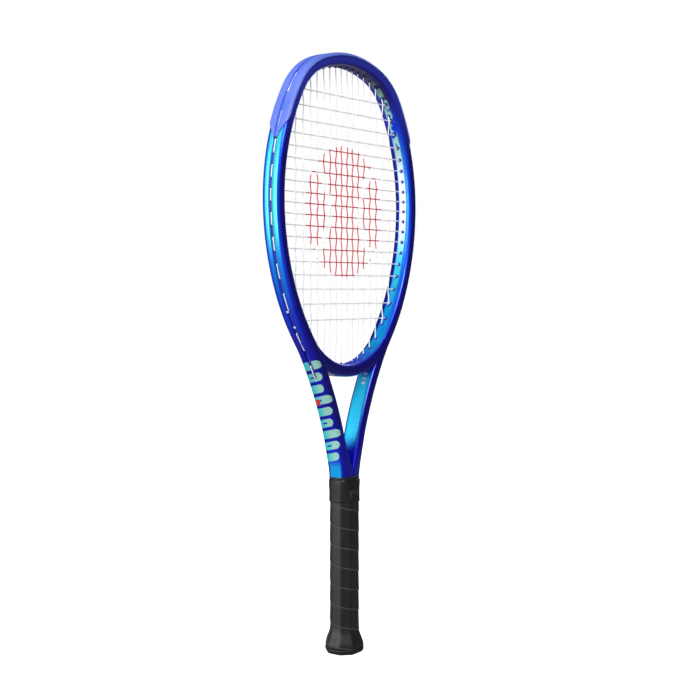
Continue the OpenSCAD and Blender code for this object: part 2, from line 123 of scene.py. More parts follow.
def make_outline():
    tip_z = RACKET_LENGTH - BUMPER_PROUD - TUBE_HALF_W
    tip_c = np.array([0.0, tip_z - TIP_RADIUS])
    shoulder_c = tip_c + (TIP_RADIUS - SHOULDER_RADIUS) * np.array(TIP_END)
    side_c = shoulder_c + (SHOULDER_RADIUS - SIDE_RADIUS) * np.array(SHOULDER_END)
    lower_c = side_c + (SIDE_RADIUS - LOWER_RADIUS) * np.array([1.0, 0.0])
    foot = lower_c + LOWER_RADIUS * np.array(JOINT)
    bridge_r = foot[0] / JOINT[0]
    tip = Arc(TIP_RADIUS, tip_c, 0.0, angle_of(TIP_END))
    shoulder = Arc(SHOULDER_RADIUS, shoulder_c, angle_of(TIP_END), angle_of(SHOULDER_END))
    side = Arc(SIDE_RADIUS, side_c, angle_of(SHOULDER_END), 90.0)
    lower = Arc(LOWER_RADIUS, lower_c, 90.0, angle_of(JOINT))
    bridge = Arc(bridge_r, (0.0, foot[1] - bridge_r * JOINT[1]), angle_of(JOINT), 180.0)
    return tip, shoulder, side, lower, bridge


TIP_ARC, SHOULDER_ARC, SIDE_ARC, LOWER_ARC, BRIDGE_ARC = make_outline()
HOOP_ARCS = (TIP_ARC, SHOULDER_ARC, SIDE_ARC, LOWER_ARC)
JOINT_POINT = LOWER_ARC.point(LOWER_ARC.end)


def shaft_line(step=2.0):
    """Points and outward normals of the right shaft, from the bridge joint down to the handle."""
    joint, bend_foot, run_foot = (np.array(v) for v in (JOINT, BEND_FOOT, RUN_FOOT))
    down = np.array([joint[1], -joint[0]])
    points, normals = [], []
    for t in np.linspace(0, SHAFT_LEAD, int(SHAFT_LEAD / step) + 1):
        points.append(JOINT_POINT + t * down)
        normals.append(joint)
    lead_end = JOINT_POINT + SHAFT_LEAD * down
    bend_c = lead_end + BEND_RADIUS * joint
    bend_end = bend_c - BEND_RADIUS * bend_foot
    run_c = bend_end + RUN_RADIUS * bend_foot
    run_end = run_c - RUN_RADIUS * run_foot
    entry_c = run_end + ENTRY_RADIUS * run_foot
    turns = (
        (bend_c, BEND_RADIUS, joint, bend_foot),
        (run_c, RUN_RADIUS, bend_foot, run_foot),
        (entry_c, ENTRY_RADIUS, run_foot, np.array([1.0, 0.0])),
    )
    for centre, radius, first, last in turns:
        a0 = math.atan2(-first[1], first[0])
        a1 = math.atan2(-last[1], last[0])
        count = max(3, int(radius * (a0 - a1) / step))
        for a in np.linspace(a0, a1, count + 1)[1:]:
            out = np.array([math.cos(a), -math.sin(a)])
            point = centre - radius * out
            if point[1] < HANDLE_TOP:
                break
            points.append(point)
            normals.append(out)
    over = (points[-1][1] - HANDLE_TOP) / normals[-1][0]
    points.append(points[-1] + over * np.array([normals[-1][1], -normals[-1][0]]))
    normals.append(normals[-1])
    return np.array(points), np.array(normals)


def arc_line(arc, start, end, step=2.0):
    count = max(2, int(math.radians(abs(end - start)) * arc.radius / step))
    phis = np.linspace(start, end, count + 1)
    return np.array([arc.point(p) for p in phis]), np.array([normal_at(p) for p in phis])


def hoop_line(start=0.0, end=None, step=2.0):
    """The right half of the hoop between two angles from the tip."""
    end = LOWER_ARC.end if end is None else end
    points, normals = [], []
    for arc in HOOP_ARCS:
        a, b = max(arc.start, start), min(arc.end, end)
        if b <= a:
            continue
        p, n = arc_line(arc, a, b, step)
        skip = 1 if points else 0
        points.extend(p[skip:])
        normals.extend(n[skip:])
    return np.array(points), np.array(normals)


def join_lines(*lines):
    points, normals = list(lines[0][0]), list(lines[0][1])
    for p, n in lines[1:]:
        points.extend(p[1:])
        normals.extend(n[1:])
    return np.array(points), np.array(normals)


def mirrored(line):
    """The same stretch on the left, run the other way so that it can lead into the right one."""
    flip = np.array([-1.0, 1.0])
    return line[0][::-1] * flip, line[1][::-1] * flip


def both_halves(line):
    """Left foot, over the top, to the right foot."""
    return join_lines(mirrored(line), line)


# ---- Mesh helpers ----
def new_object(name, verts, faces, material, attributes=None, smooth=True):
    mesh = bpy.data.meshes.new(name)
    mesh.from_pydata([tuple(v) for v in np.asarray(verts) * MM], [], faces)
    mesh.update()
    for key, values in (attributes or {}).items():
        layer = mesh.attributes.new(key, "FLOAT", "POINT")
        layer.data.foreach_set("value", np.asarray(values, np.float32).ravel())
    if smooth:
        mesh.polygons.foreach_set("use_smooth", [True] * len(mesh.polygons))
    obj = bpy.data.objects.new(name, mesh)
    bpy.context.scene.collection.objects.link(obj)
    obj.data.materials.append(material)
    return obj


def grid_faces(rows, cols, wrap_rows=False):
    faces = []
    for r in range(rows if wrap_rows else rows - 1):
        for c in range(cols):
            a, b = r * cols + c, r * cols + (c + 1) % cols
            d, e = ((r + 1) % rows) * cols + c, ((r + 1) % rows) * cols + (c + 1) % cols
            faces.append((a, d, e, b))
    return faces


def cap_faces(rows, cols):
    first = tuple(range(cols))
    last = tuple((rows - 1) * cols + c for c in reversed(range(cols)))
    return [first, last]


def turned_over(faces):
    """The same faces looking the other way."""
    return [tuple(reversed(f)) for f in faces]


def loft(name, rings, material, attributes=None):
    """A closed skin through rings of points, each ring the same length."""
    rows, cols = len(rings), len(rings[0])
    faces = turned_over(grid_faces(rows, cols) + cap_faces(rows, cols))
    return new_object(name, np.concatenate(rings), faces, material, attributes)


def sleeve(name, rings, material, attributes=None, turned=True):
    """A skin through rings whose last leads back to the first, as round a hollow part."""
    faces = grid_faces(len(rings), len(rings[0]), wrap_rows=True)
    faces = turned_over(faces) if turned else faces
    return new_object(name, np.concatenate(rings), faces, material, attributes)


class Pile:
    """Gathers many small skins into one mesh."""

    def __init__(self):
        self.verts, self.faces, self.count = [], [], 0

    def add(self, rings, capped=True):
        rows, cols = len(rings), len(rings[0])
        faces = grid_faces(rows, cols)
        if capped:
            faces += cap_faces(rows, cols)
        self.faces += [tuple(i + self.count for i in f) for f in faces]
        self.verts.append(np.concatenate(rings))
        self.count += rows * cols

    def build(self, name, material):
        return new_object(name, np.concatenate(self.verts), self.faces, material)


def corner(cx, cy, r, a0, a1, steps):
    angles = np.radians(np.linspace(a0, a1, steps + 1))
    return [(cx + r * math.cos(a), cy + r * math.sin(a)) for a in angles]


def mirror_half(half):
    """A whole section from its half with positive y, whose ends lie on the middle line."""
    return np.array(half + [(u, -y) for u, y in reversed(half[1:-1])])


def tube_section(half_w, half_d, groove, low_shift=0.0):
    """The tube's section as (u, y) points from the groove's middle round to it again; u points
    outwards. groove is the depth of the string groove and low_shift thickens the outer side."""
    out, r = half_w + low_shift, TUBE_CORNER
    lip = min(0.35, groove)
    half = [
        (out - groove, 0.0),
        (out - groove, 1.5),
        (out - groove + 0.04 * min(1, groove), GROOVE_WIDTH / 2 - 0.25),
        (out - groove + 0.3 * min(1, groove), GROOVE_WIDTH / 2 - 0.02),
        (out - lip, GROOVE_WIDTH / 2),
        (out - lip * 0.3, GROOVE_WIDTH / 2 + 0.1),
        (out, GROOVE_WIDTH / 2 + 0.4),
        (out, 5.2),
    ]
    half += corner(out - r, half_d - r, r, 0, 90, CORNER_STEPS)
    half += [((out - half_w) / 2, half_d)]
    half += corner(-half_w + r, half_d - r, r, 90, 180, CORNER_STEPS)
    half += [(-half_w, 5.0), (-half_w, 2.5), (-half_w, 0.0)]
    return mirror_half(half)


def section_wall(section):
    """How much each point of a section faces outwards (1), inwards (-1) or to a face (0)."""
    before, after = np.roll(section, 1, 0), np.roll(section, -1, 0)
    tangent = after - before
    length = np.maximum(np.linalg.norm(tangent, axis=1), 1e-9)
    return tangent[:, 1] / length


def place_ring(section, point, out):
    u, y = section[:, 0], section[:, 1]
    return np.stack([point[0] + u * out[0], y, point[1] + u * out[1]], 1)


def smoothstep(x, lo, hi):
    t = np.clip((np.asarray(x, float) - lo) / (hi - lo), 0, 1)
    return t * t * (3 - 2 * t)


def tube_rings(points, radius, sides=8):
    """Rings of a round thread along a path of points, carried along without twist."""
    points = np.asarray(points, float)
    tangent = np.gradient(points, axis=0)
    tangent /= np.maximum(np.linalg.norm(tangent, axis=1), 1e-9)[:, None]
    up = np.array([0.0, 1.0, 0.0])
    if abs(tangent[0] @ up) > 0.9:
        up = np.array([1.0, 0.0, 0.0])
    side = np.cross(tangent[0], up)
    side /= np.linalg.norm(side)
    rings = []
    angles = np.linspace(0, 2 * math.pi, sides, endpoint=False)
    for p, t in zip(points, tangent):
        side = side - (side @ t) * t
        side /= np.linalg.norm(side)
        other = np.cross(t, side)
        circle = np.cos(angles)[:, None] * side + np.sin(angles)[:, None] * other
        rings.append(p + radius * circle)
    return rings


def rounded_path(points, radius, steps=4):
    """The same path with its corners turned into short curves."""
    points = [np.asarray(p, float) for p in points]
    path = [points[0]]
    for before, here, after in zip(points, points[1:], points[2:]):
        a, b = before - here, after - here
        la, lb = np.linalg.norm(a), np.linalg.norm(b)
        cut = min(radius, la * 0.45, lb * 0.45)
        start, end = here + a / la * cut, here + b / lb * cut
        for t in np.linspace(0, 1, steps + 1):
            path.append((1 - t) ** 2 * start + 2 * t * (1 - t) * here + t * t * end)
    path.append(points[-1])
    return path


def revolve(profile, origin, axis, sides=20):
    """Rings of a turned shape: profile is (radius, height) along axis from origin."""
    axis = np.asarray(axis, float)
    axis /= np.linalg.norm(axis)
    side = np.array([0.0, 1.0, 0.0]) if abs(axis[1]) < 0.9 else np.array([1.0, 0.0, 0.0])
    side = side - (side @ axis) * axis
    side /= np.linalg.norm(side)
    other = np.cross(axis, side)
    angles = np.linspace(0, 2 * math.pi, sides, endpoint=False)
    circle = np.cos(angles)[:, None] * side + np.sin(angles)[:, None] * other
    return [np.asarray(origin, float) + h * axis + r * circle for r, h in profile]


# ---- Materials ----
class Graph:
    """A short way to write a material's nodes."""

    def __init__(self, name):
        self.material = bpy.data.materials.new(name)
        self.material.use_nodes = True
        self.tree = self.material.node_tree
        self.shader = self.tree.nodes["Principled BSDF"]

    def node(self, kind, **settings):
        made = self.tree.nodes.new(kind)
        for key, value in settings.items():
            setattr(made, key, value)
        return made

    def link(self, source, target):
        self.tree.links.new(source, target)

    def feed(self, socket, value):
        if hasattr(value, "is_output"):
            self.link(value, socket)
        elif socket.type == "RGBA" and len(value) == 3:
            socket.default_value = (*value, 1)
        else:
            socket.default_value = value

    def math(self, operation, *values, clamp=False):
        made = self.node("ShaderNodeMath", operation=operation, use_clamp=clamp)
        for socket, value in zip(made.inputs, values):
            self.feed(socket, value)
        return made.outputs[0]

    def mul(self, a, b):
        return self.math("MULTIPLY", a, b)

    def add(self, a, b):
        return self.math("ADD", a, b)

    def sub(self, a, b, clamp=False):
        return self.math("SUBTRACT", a, b, clamp=clamp)

    def step(self, value, lo, hi):
        made = self.node("ShaderNodeMapRange", interpolation_type="SMOOTHSTEP")
        self.feed(made.inputs["Value"], value)
        made.inputs["From Min"].default_value = lo
        made.inputs["From Max"].default_value = hi
        return made.outputs["Result"]

    def band(self, value, lo, hi, soft):
        """1 between lo and hi, 0 outside, with soft edges."""
        rise = self.step(value, lo - soft, lo + soft)
        fall = self.step(value, hi - soft, hi + soft)
        return self.sub(rise, fall, clamp=True)

    def mix(self, factor, a, b):
        made = self.node("ShaderNodeMix", data_type="RGBA", blend_type="MIX")
        self.feed(made.inputs["Factor"], factor)
        self.feed(made.inputs["A"], a)
        self.feed(made.inputs["B"], b)
        return made.outputs["Result"]

    def ramp(self, value, stops):
        made = self.node("ShaderNodeValToRGB")
        made.color_ramp.interpolation = "EASE"
        elements = made.color_ramp.elements
        while len(elements) < len(stops):
            elements.new(0.5)
        for element, (place, colour) in zip(elements, stops):
            element.position = place
            element.color = (*colour, 1)
        self.feed(made.inputs["Fac"], value)
        return made.outputs["Color"]

    def position(self):
        return self.node("ShaderNodeTexCoord").outputs["Object"]

    def xyz(self):
        split = self.node("ShaderNodeSeparateXYZ")
        self.link(self.position(), split.inputs[0])
        return split.outputs["X"], split.outputs["Y"], split.outputs["Z"]

    def attribute(self, name):
        return self.node("ShaderNodeAttribute", attribute_name=name).outputs["Fac"]

    def noise(self, scale, detail=3.0, roughness=0.5):
        made = self.node("ShaderNodeTexNoise")
        made.inputs["Scale"].default_value = scale
        made.inputs["Detail"].default_value = detail
        made.inputs["Roughness"].default_value = roughness
        self.link(self.position(), made.inputs["Vector"])
        return made.outputs["Fac"]

    def cells(self, scale):
        made = self.node("ShaderNodeTexVoronoi", feature="F1")
        made.inputs["Scale"].default_value = scale
        self.link(self.position(), made.inputs["Vector"])
        return made.outputs["Distance"]

    def bump(self, height, strength, distance):
        made = self.node("ShaderNodeBump")
        made.inputs["Strength"].default_value = strength
        made.inputs["Distance"].default_value = distance
        self.feed(made.inputs["Height"], height)
        return made.outputs["Normal"]

    def set(self, **values):
        for key, value in values.items():
            self.feed(self.shader.inputs[key.replace("_", " ")], value)

    def roughness(self, low, high, scale):
        made = self.node("ShaderNodeMapRange")
        self.feed(made.inputs["Value"], self.noise(scale))
        made.inputs["To Min"].default_value = low
        made.inputs["To Max"].default_value = high
        return made.outputs["Result"]


NAVY = (0.005, 0.0, 0.32)
DEEP = (0.003, 0.002, 0.58)
VIOLET = (0.045, 0.055, 0.78)
BLUE = (0.0, 0.05, 0.88)
AZURE = (0.0, 0.24, 1.0)
SKY = (0.0, 0.44, 1.0)
CYAN = (0.06, 0.78, 1.0)
# painted shade for the top of the inner wall, under the tip
TIP_SHADE_INDIGO = (0.020, 0.006, 0.14)
PANEL = (0.015, 0.62, 1.0)
ICE = (0.85, 0.98, 1.0)
MINT = (0.48, 0.95, 0.84)
TURQUOISE = (0.0, 0.84, 0.92)
ACCENT = (0.95, 0.06, 0.03)

PAINT_HEIGHT = 0.7  # metres over which the colour ramps run from 0 to 1
PAINT_BARS_LOW, PAINT_BARS_HIGH = 0.2215, 0.3395
BAR_PITCH, BAR_HALF = 0.0132, 0.0046


def throat_bars(g, y, z):
    """A ladder of round-ended bars of changing length up the outer wall of the throat."""
    lean = g.add(z, g.mul(y, 0.22))
    row = g.math("DIVIDE", g.sub(lean, PAINT_BARS_LOW), BAR_PITCH)
    offset = g.mul(g.sub(g.math("FRACT", row), 0.5), BAR_PITCH)
    count = g.math("FLOOR", row)
    reach = g.math("MULTIPLY_ADD", g.math("MODULO", count, 3.0), 0.0026, 0.0035)
    past = g.sub(g.mul(y, -1.0), reach)
    past = g.math("MAXIMUM", past, 0.0)
    span = g.math("SQRT", g.add(g.mul(past, past), g.mul(offset, offset)))
    bar = g.sub(1.0, g.step(span, BAR_HALF - 0.0002, BAR_HALF + 0.0002))
    odd = g.math("MODULO", count, 2.0)
    slot = g.mul(g.band(y, 0.0005, 0.0065, 0.0004), g.band(offset, -0.0009, 0.0009, 0.0003))
    bar = g.sub(bar, g.mul(slot, odd), clamp=True)
    rows = g.band(count, -0.5, (PAINT_BARS_HIGH - PAINT_BARS_LOW) / BAR_PITCH - 0.5, 0.1)
    return g.mul(bar, rows)


def paint_material():
    """Pearl lacquer: navy faces, walls that run from cyan at the head to deep blue, and a ladder
    of mint bars on the outer walls of the throat. The walls' bright colours are partly the
    lacquer's own and partly a painted reflection of the side lights."""
    g = Graph("frame_lacquer")
    _, y, z = g.xyz()
    wall = g.attribute("wall")
    inner_wall = g.mul(wall, -1.0)
    height = g.math("DIVIDE", z, PAINT_HEIGHT)
    edge = g.ramp(height, [
        (0.30, DEEP), (0.42, NAVY), (0.55, DEEP), (0.64, BLUE), (0.82, BLUE), (0.95, NAVY),
    ])
    outer = g.ramp(height, [
        (0.288, SKY), (0.306, SKY), (0.322, BLUE), (0.36, DEEP), (0.50, DEEP),
        (0.555, BLUE), (0.625, AZURE), (0.70, CYAN), (0.83, CYAN), (0.90, SKY), (0.96, DEEP),
    ])
    # the inner wall ends in painted shade: it darkens to indigo under the tip, where it faces down
    inner = g.ramp(height, [
        (0.332, DEEP), (0.358, PANEL), (0.445, PANEL), (0.47, BLUE), (0.51, SKY), (0.58, AZURE),
        (0.82, AZURE), (0.88, BLUE), (0.93, TIP_SHADE_INDIGO),
    ])
    front = g.step(y, -0.0050, -0.0110)
    inner = g.mix(g.mul(front, 0.85), inner, edge)
    faces = g.ramp(height, [(0.30, DEEP), (0.42, NAVY), (0.60, NAVY), (0.80, NAVY), (0.92, VIOLET)])
    colour = g.mix(g.step(wall, 0.30, 0.80), faces, edge)
    # painted reflection: the middle of each outer wall takes the bright outer ramp, partly the
    # lacquer's colour and partly the side lights' reflection painted in
    core = g.mul(g.step(wall, 0.72, 0.99), g.band(y, -0.0088, 0.0070, 0.0014))
    colour = g.mix(core, colour, outer)
    front_corner = g.mul(g.step(inner_wall, 0.35, 0.80), g.step(y, 0.0, -0.0020))
    colour = g.mix(front_corner, colour, edge)
    # the inner wall keeps a dark strip along its back, narrower on the shafts than on the hoop
    back = g.math("MULTIPLY_ADD", g.step(z, 0.360, 0.330), -0.0035, y)
    inward = g.mul(g.step(inner_wall, 0.72, 0.99), g.step(back, 0.0062, 0.0044))
    # the inner wall takes the bright inner ramp, partly the lacquer's colour and partly a painted
    # reflection of the side lights
    colour = g.mix(inward, colour, inner)
    # pale line along the middle of the inner wall: mint over the shoulder, near-white down the side
    line = g.mul(g.band(y, -0.0040, 0.0046, 0.0010), g.band(z, 0.385, 0.655, 0.016))
    pale = g.ramp(height, [
        (0.55, SKY), (0.64, CYAN), (0.72, ICE), (0.80, ICE), (0.86, MINT), (0.94, MINT),
    ])
    patch = g.step(g.noise(95.0, 1.0), 0.36, 0.46)
    strong = g.math("MAXIMUM", patch, g.sub(1.0, g.step(z, 0.57, 0.60)))
    line = g.mul(g.mul(line, strong), g.step(inner_wall, 0.72, 0.99))
    colour = g.mix(g.mul(line, 0.95), colour, pale)
    # bars on the throat's outer walls, paler towards the front
    outer_side = g.mul(g.step(wall, 0.10, 0.35), g.attribute("shaft"))
    bars = g.mul(throat_bars(g, y, z), outer_side)
    bar_colour = g.mix(g.step(y, -0.004, 0.010), MINT, TURQUOISE)
    colour = g.mix(bars, colour, bar_colour)
    # a small warm accent beside the bars, and three ticks on the inner wall
    accent = g.mul(g.band(z, 0.2880, 0.2945, 0.0003), g.band(y, 0.0030, 0.0092, 0.0003))
    colour = g.mix(g.mul(accent, outer_side), colour, ACCENT)
    tick = g.math("FRACT", g.math("DIVIDE", z, 0.0052))
    ticks = g.mul(g.band(tick, 0.2, 0.75, 0.04), g.band(z, 0.3072, 0.3228, 0.0002))
    ticks = g.mul(ticks, g.band(y, -0.0035, 0.0015, 0.0003))
    colour = g.mix(g.mul(ticks, g.step(inner_wall, 0.72, 0.99)), colour, (0.85, 0.93, 0.95))
    # pearl flakes and slow cloudiness
    flakes = g.cells(2600.0)
    glint = g.mul(g.step(flakes, 0.45, 0.1), 0.06)
    pearl = g.mix(glint, colour, (0.35, 0.6, 1.0))
    cloud = g.add(g.mul(g.noise(38.0), 0.24), 0.88)
    shade = g.node("ShaderNodeVectorMath", operation="SCALE")
    g.link(pearl, shade.inputs[0])
    g.link(cloud, shade.inputs["Scale"])
    g.set(Base_Color=shade.outputs[0], Roughness=g.roughness(0.24, 0.34, 60.0),
          Metallic=0.42, Specular_IOR_Level=0.32, Coat_Weight=0.22, Coat_Roughness=0.08,
          Normal=g.bump(g.noise(900.0, 2.0), 0.05, 0.0002))
    return g.material


def clouded_material(name, tones, rough, relief, wear=None, **more):
    """Two tones clouded together under fine relief, paler in patches where wear is given."""
    g = Graph(name)
    scale, detail, dark, light = tones
    tone = g.mix(g.noise(scale, detail), dark, light)
    if wear:
        *texture, lo, hi, share, pale = wear
        tone = g.mix(g.mul(g.step(g.noise(*texture), lo, hi), share), tone, pale)
    grain, strength, depth = relief
    height = g.noise(*grain) if len(grain) > 1 else g.cells(*grain)
    g.set(Base_Color=tone, Roughness=g.roughness(*rough), Normal=g.bump(height, strength, depth),
          **more)
    return g.material


def nylon_material(name, dark, light):
    return clouded_material(name, (70.0, 3.0, dark, light), (0.32, 0.48, 300.0),
                            ((1800.0, 3.0), 0.2, 0.0002))


INK = (0.60, 0.001, 0.022)
PAINTED_STRING_GLOW = 0.20  # painted glow: the strings and their ink give off a little light, though they are no lamp
BALL_CENTRE_Z = 0.5065
BALL_RADIUS = 0.0745
SEAM_RADIUS = 0.062
SEAM_OFFSET = 0.092
SEAM_HALF = 0.0052


def string_material():
    """Clear-white string with a round ball motif inked on the middle of the bed."""
    g = Graph("string_polyester")
    x, _, z = g.xyz()
    up = g.sub(z, BALL_CENTRE_Z)

    def distance(cx):
        dx = g.sub(x, cx)
        return g.math("SQRT", g.add(g.mul(dx, dx), g.mul(up, up)))

    disc = g.sub(1.0, g.step(distance(0.0), BALL_RADIUS - 0.0006, BALL_RADIUS + 0.0006))
    near, far = SEAM_RADIUS - SEAM_HALF, SEAM_RADIUS + SEAM_HALF
    seams = [g.band(distance(s * SEAM_OFFSET), near, far, 0.0006) for s in (-1, 1)]
    bare = g.math("MAXIMUM", *seams)
    patchy = g.step(g.noise(1300.0, 3.0, 0.6), 0.22, 0.40)
    ink = g.mul(g.sub(disc, bare, clamp=True), patchy)
    white = g.mix(g.noise(240.0), (0.86, 0.86, 0.86), (0.96, 0.96, 0.96))
    red = g.mix(g.noise(500.0), INK, (0.72, 0.004, 0.035))
    tone = g.mix(ink, white, red)
    # painted glow: the string colour, ink included, is also given off as light
    g.set(Base_Color=tone, Emission_Color=tone, Emission_Strength=PAINTED_STRING_GLOW,
          Roughness=g.roughness(0.28, 0.42, 900.0), Coat_Weight=0.25, Coat_Roughness=0.2,
          Normal=g.bump(g.noise(2600.0, 2.0), 0.12, 0.0001))
    return g.material


def grip_material():
    """Synthetic leather: pebbled black with rows of fine perforations."""
    g = Graph("grip_leather")
    turn = g.attribute("turn")
    along = g.attribute("along")
    pebble = g.cells(1150.0)
    rows = g.math("ABSOLUTE", g.sub(g.math("FRACT", g.mul(along, 30.0)), 0.5))
    cols = g.math("ABSOLUTE", g.sub(g.math("FRACT", g.mul(turn, 5.0)), 0.5))
    span = g.add(g.mul(rows, rows), g.mul(cols, cols))
    holes = g.sub(1.0, g.step(span, 0.008, 0.02))
    holes = g.mul(holes, g.band(turn, 0.2, 0.8, 0.01))
    worn = g.step(g.noise(55.0, 4.0, 0.65), 0.40, 0.75)
    tone = g.mix(worn, (0.004, 0.004, 0.0045), (0.009, 0.0088, 0.0098))
    # painted highlight: a pale grey line along the proud lower edge of each turn and the top of the
    # turn below
    edge = g.add(g.band(turn, -0.02, 0.05, 0.015), g.step(turn, 0.965, 0.995))
    tone = g.mix(g.mul(edge, 0.70), tone, (0.15, 0.15, 0.155))
    # painted shade: the perforations are darkened
    tone = g.mix(g.mul(holes, 0.8), tone, (0.003, 0.003, 0.003))
    relief = g.sub(g.mul(pebble, 0.35), holes)
    g.set(Base_Color=tone, Roughness=g.roughness(0.40, 0.54, 120.0), Specular_IOR_Level=0.62,
          Sheen_Weight=0.04, Sheen_Roughness=0.4, Normal=g.bump(relief, 0.35, 0.0003))
    return g.material


def woven_material(name, scale, dark, light, rough, relief, coat=0.0):
    """A fine over-and-under weave, for bare carbon and for cloth tape."""
    g = Graph(name)
    weave = g.node("ShaderNodeTexChecker")
    weave.inputs["Scale"].default_value = scale
    g.link(g.position(), weave.inputs["Vector"])
    tone = g.mix(weave.outputs["Fac"], dark, light)
    g.set(Base_Color=tone, Roughness=g.roughness(*rough), Coat_Weight=coat,
          Normal=g.bump(weave.outputs["Fac"], relief, 0.0001))
    return g.material


def floor_material():
    """Pale floor that reads as white paper and throws little light back up."""
    g = Graph("studio_floor")
    seen = g.node("ShaderNodeLightPath").outputs["Is Camera Ray"]
    paper = g.mix(g.noise(0.8, 2.0), (0.90, 0.90, 0.90), (0.93, 0.93, 0.93))
    tone = g.mix(seen, (0.25, 0.25, 0.25), paper)
    glow = g.math("MULTIPLY_ADD", seen, 0.95, 0.05)
    g.set(Base_Color=tone, Roughness=g.roughness(0.8, 0.9, 3.0), Emission_Color=(1, 1, 1, 1),
          Emission_Strength=glow)
    return g.material


# ---- Camera, light and floor ----
CAMERA_AZIMUTH = -54.0  # degrees round from the front, towards the left
CAMERA_DISTANCE, EYE_HEIGHT = 1.491, 0.4178
CAMERA_PITCH = 2.42  # degrees down
CAMERA_LENS, SENSOR_WIDTH = 67.9, 36.0
AIM_RIGHT = 0.0007  # how far right of the racket's axis the camera aims


def make_camera():
    azimuth = math.radians(CAMERA_AZIMUTH)
    fall = CAMERA_DISTANCE * math.tan(math.radians(CAMERA_PITCH))
    back = Vector((math.sin(azimuth), -math.cos(azimuth), 0))
    right = Vector((math.cos(azimuth), math.sin(azimuth), 0))
    camera = bpy.data.objects.new("camera", bpy.data.cameras.new("camera"))
    camera.data.sensor_width = SENSOR_WIDTH
    camera.data.lens = CAMERA_LENS
    camera.location = back * CAMERA_DISTANCE + Vector((0, 0, EYE_HEIGHT))
    target = Vector((0, 0, EYE_HEIGHT - fall)) + right * AIM_RIGHT
    camera.rotation_euler = (target - camera.location).to_track_quat("-Z", "Y").to_euler()
    bpy.context.scene.collection.objects.link(camera)
    bpy.context.scene.camera = camera


def area_light(name, place, target, size, power, colour=(1, 1, 1)):
    data = bpy.data.lights.new(name, "AREA")
    data.shape = "RECTANGLE"
    data.size, data.size_y = size
    data.energy = power
    data.color = colour
    obj = bpy.data.objects.new(name, data)
    obj.location = place
    obj.rotation_euler = (Vector(target) - Vector(place)).to_track_quat("-Z", "Y").to_euler()
    bpy.context.scene.collection.objects.link(obj)


def make_lights():
    area_light("key", (-2.4, 0.90, 0.6), (0, 0, 0.40), (1.1, 2.0), 48)
    area_light("fill", (-1.9, -1.3, 2.4), (0, 0, 0.40), (1.0, 1.2), 56)
    area_light("rim", (2.3, 0.6, 1.0), (0, 0, 0.45), (0.6, 1.6), 18)
    area_light("top", (-0.4, -0.2, 2.6), (0, 0, 0.5), (1.2, 1.2), 8)


def make_world():
    world = bpy.data.worlds.new("studio")
    bpy.context.scene.world = world
    world.use_nodes = True
    nodes, links = world.node_tree.nodes, world.node_tree.links
    nodes.clear()
    out = nodes.new("ShaderNodeOutputWorld")
    mix = nodes.new("ShaderNodeMixShader")
    path = nodes.new("ShaderNodeLightPath")
    seen = nodes.new("ShaderNodeBackground")
    lit = nodes.new("ShaderNodeBackground")
    seen.inputs["Color"].default_value = (1, 1, 1, 1)
    seen.inputs["Strength"].default_value = 1.0
    lit.inputs["Color"].default_value = (0.95, 0.97, 1, 1)
    lit.inputs["Strength"].default_value = 0.12
    links.new(path.outputs["Is Camera Ray"], mix.inputs["Fac"])
    links.new(lit.outputs[0], mix.inputs[1])
    links.new(seen.outputs[0], mix.inputs[2])
    links.new(mix.outputs[0], out.inputs["Surface"])


FLOOR_DROP = 0.014  # room under the butt for the trap door, which comes out 12 mm


def make_floor():
    count, radius = 96, 14000.0
    angles = np.linspace(0, 2 * math.pi, count, endpoint=False)
    ring = np.stack([radius * np.cos(angles), radius * np.sin(angles), np.zeros(count)], 1)
    floor = new_object("floor", ring, [tuple(range(count))], floor_material(), smooth=False)
    floor.location.z = cad_low.z - FLOOR_DROP


# ---- Frame ----
SHAFT = shaft_line()
WEB_TOP, WEB_FOOT = 250.0, 212.0
WEB_REACH = float(np.interp(WEB_TOP, SHAFT[0][::-1, 1], SHAFT[0][::-1, 0])) - TUBE_HALF_W


def shape_foot(ring, section):
    """Draws the shafts' inner walls together in a straight V and rounds their outer walls off
    towards the handle."""
    z = ring[:, 2]
    rise = np.clip((z - WEB_FOOT) / (WEB_TOP - WEB_FOOT), 0, 1)
    natural = np.interp(z, SHAFT[0][::-1, 1], SHAFT[0][::-1, 0]) - TUBE_HALF_W
    reach = np.where(z < WEB_TOP, rise * WEB_REACH / np.maximum(natural, 1.0), 1.0)
    inner = smoothstep(-section[:, 0], -4.0, 5.0)
    ring[:, 0] *= 1 - (1 - np.minimum(reach, 1.0)) * inner
    near = 1 - smoothstep(z, HANDLE_TOP, HANDLE_TOP + 38)
    outward = ((section[:, 0] + TUBE_HALF_W) / (2 * TUBE_HALF_W)) ** 2.5
    ring[:, 1] *= 1 - 0.20 * near * outward
    return ring


def make_hairpin(material):
    """The one long tube: left shaft, over the head, right shaft."""
    points, normals = both_halves(join_lines(hoop_line(), SHAFT))
    slope = np.degrees(np.arctan2(-normals[:, 1], np.abs(normals[:, 0])))
    in_shaft = points[:, 1] < JOINT_POINT[1]
    tail = np.where(in_shaft, smoothstep(slope, STRIP_END_SLOPE - 0.5, STRIP_END_SLOPE + 1.5), 1.0)
    rings, walls = [], []
    for point, out, depth in zip(points, normals, tail):
        section = tube_section(TUBE_HALF_W, TUBE_HALF_D, GROOVE_DEPTH * depth)
        rings.append(shape_foot(place_ring(section, point, out), section))
        walls.append(section_wall(tube_section(TUBE_HALF_W, TUBE_HALF_D, 0.0)))
    walls = np.concatenate(walls)
    obj = loft("frame_hairpin", rings, material, {"wall": walls, "shaft": np.ones(len(walls))})
    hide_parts("head_hoop", "throat_shaft_left", "throat_shaft_right")
    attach(obj, "racket")


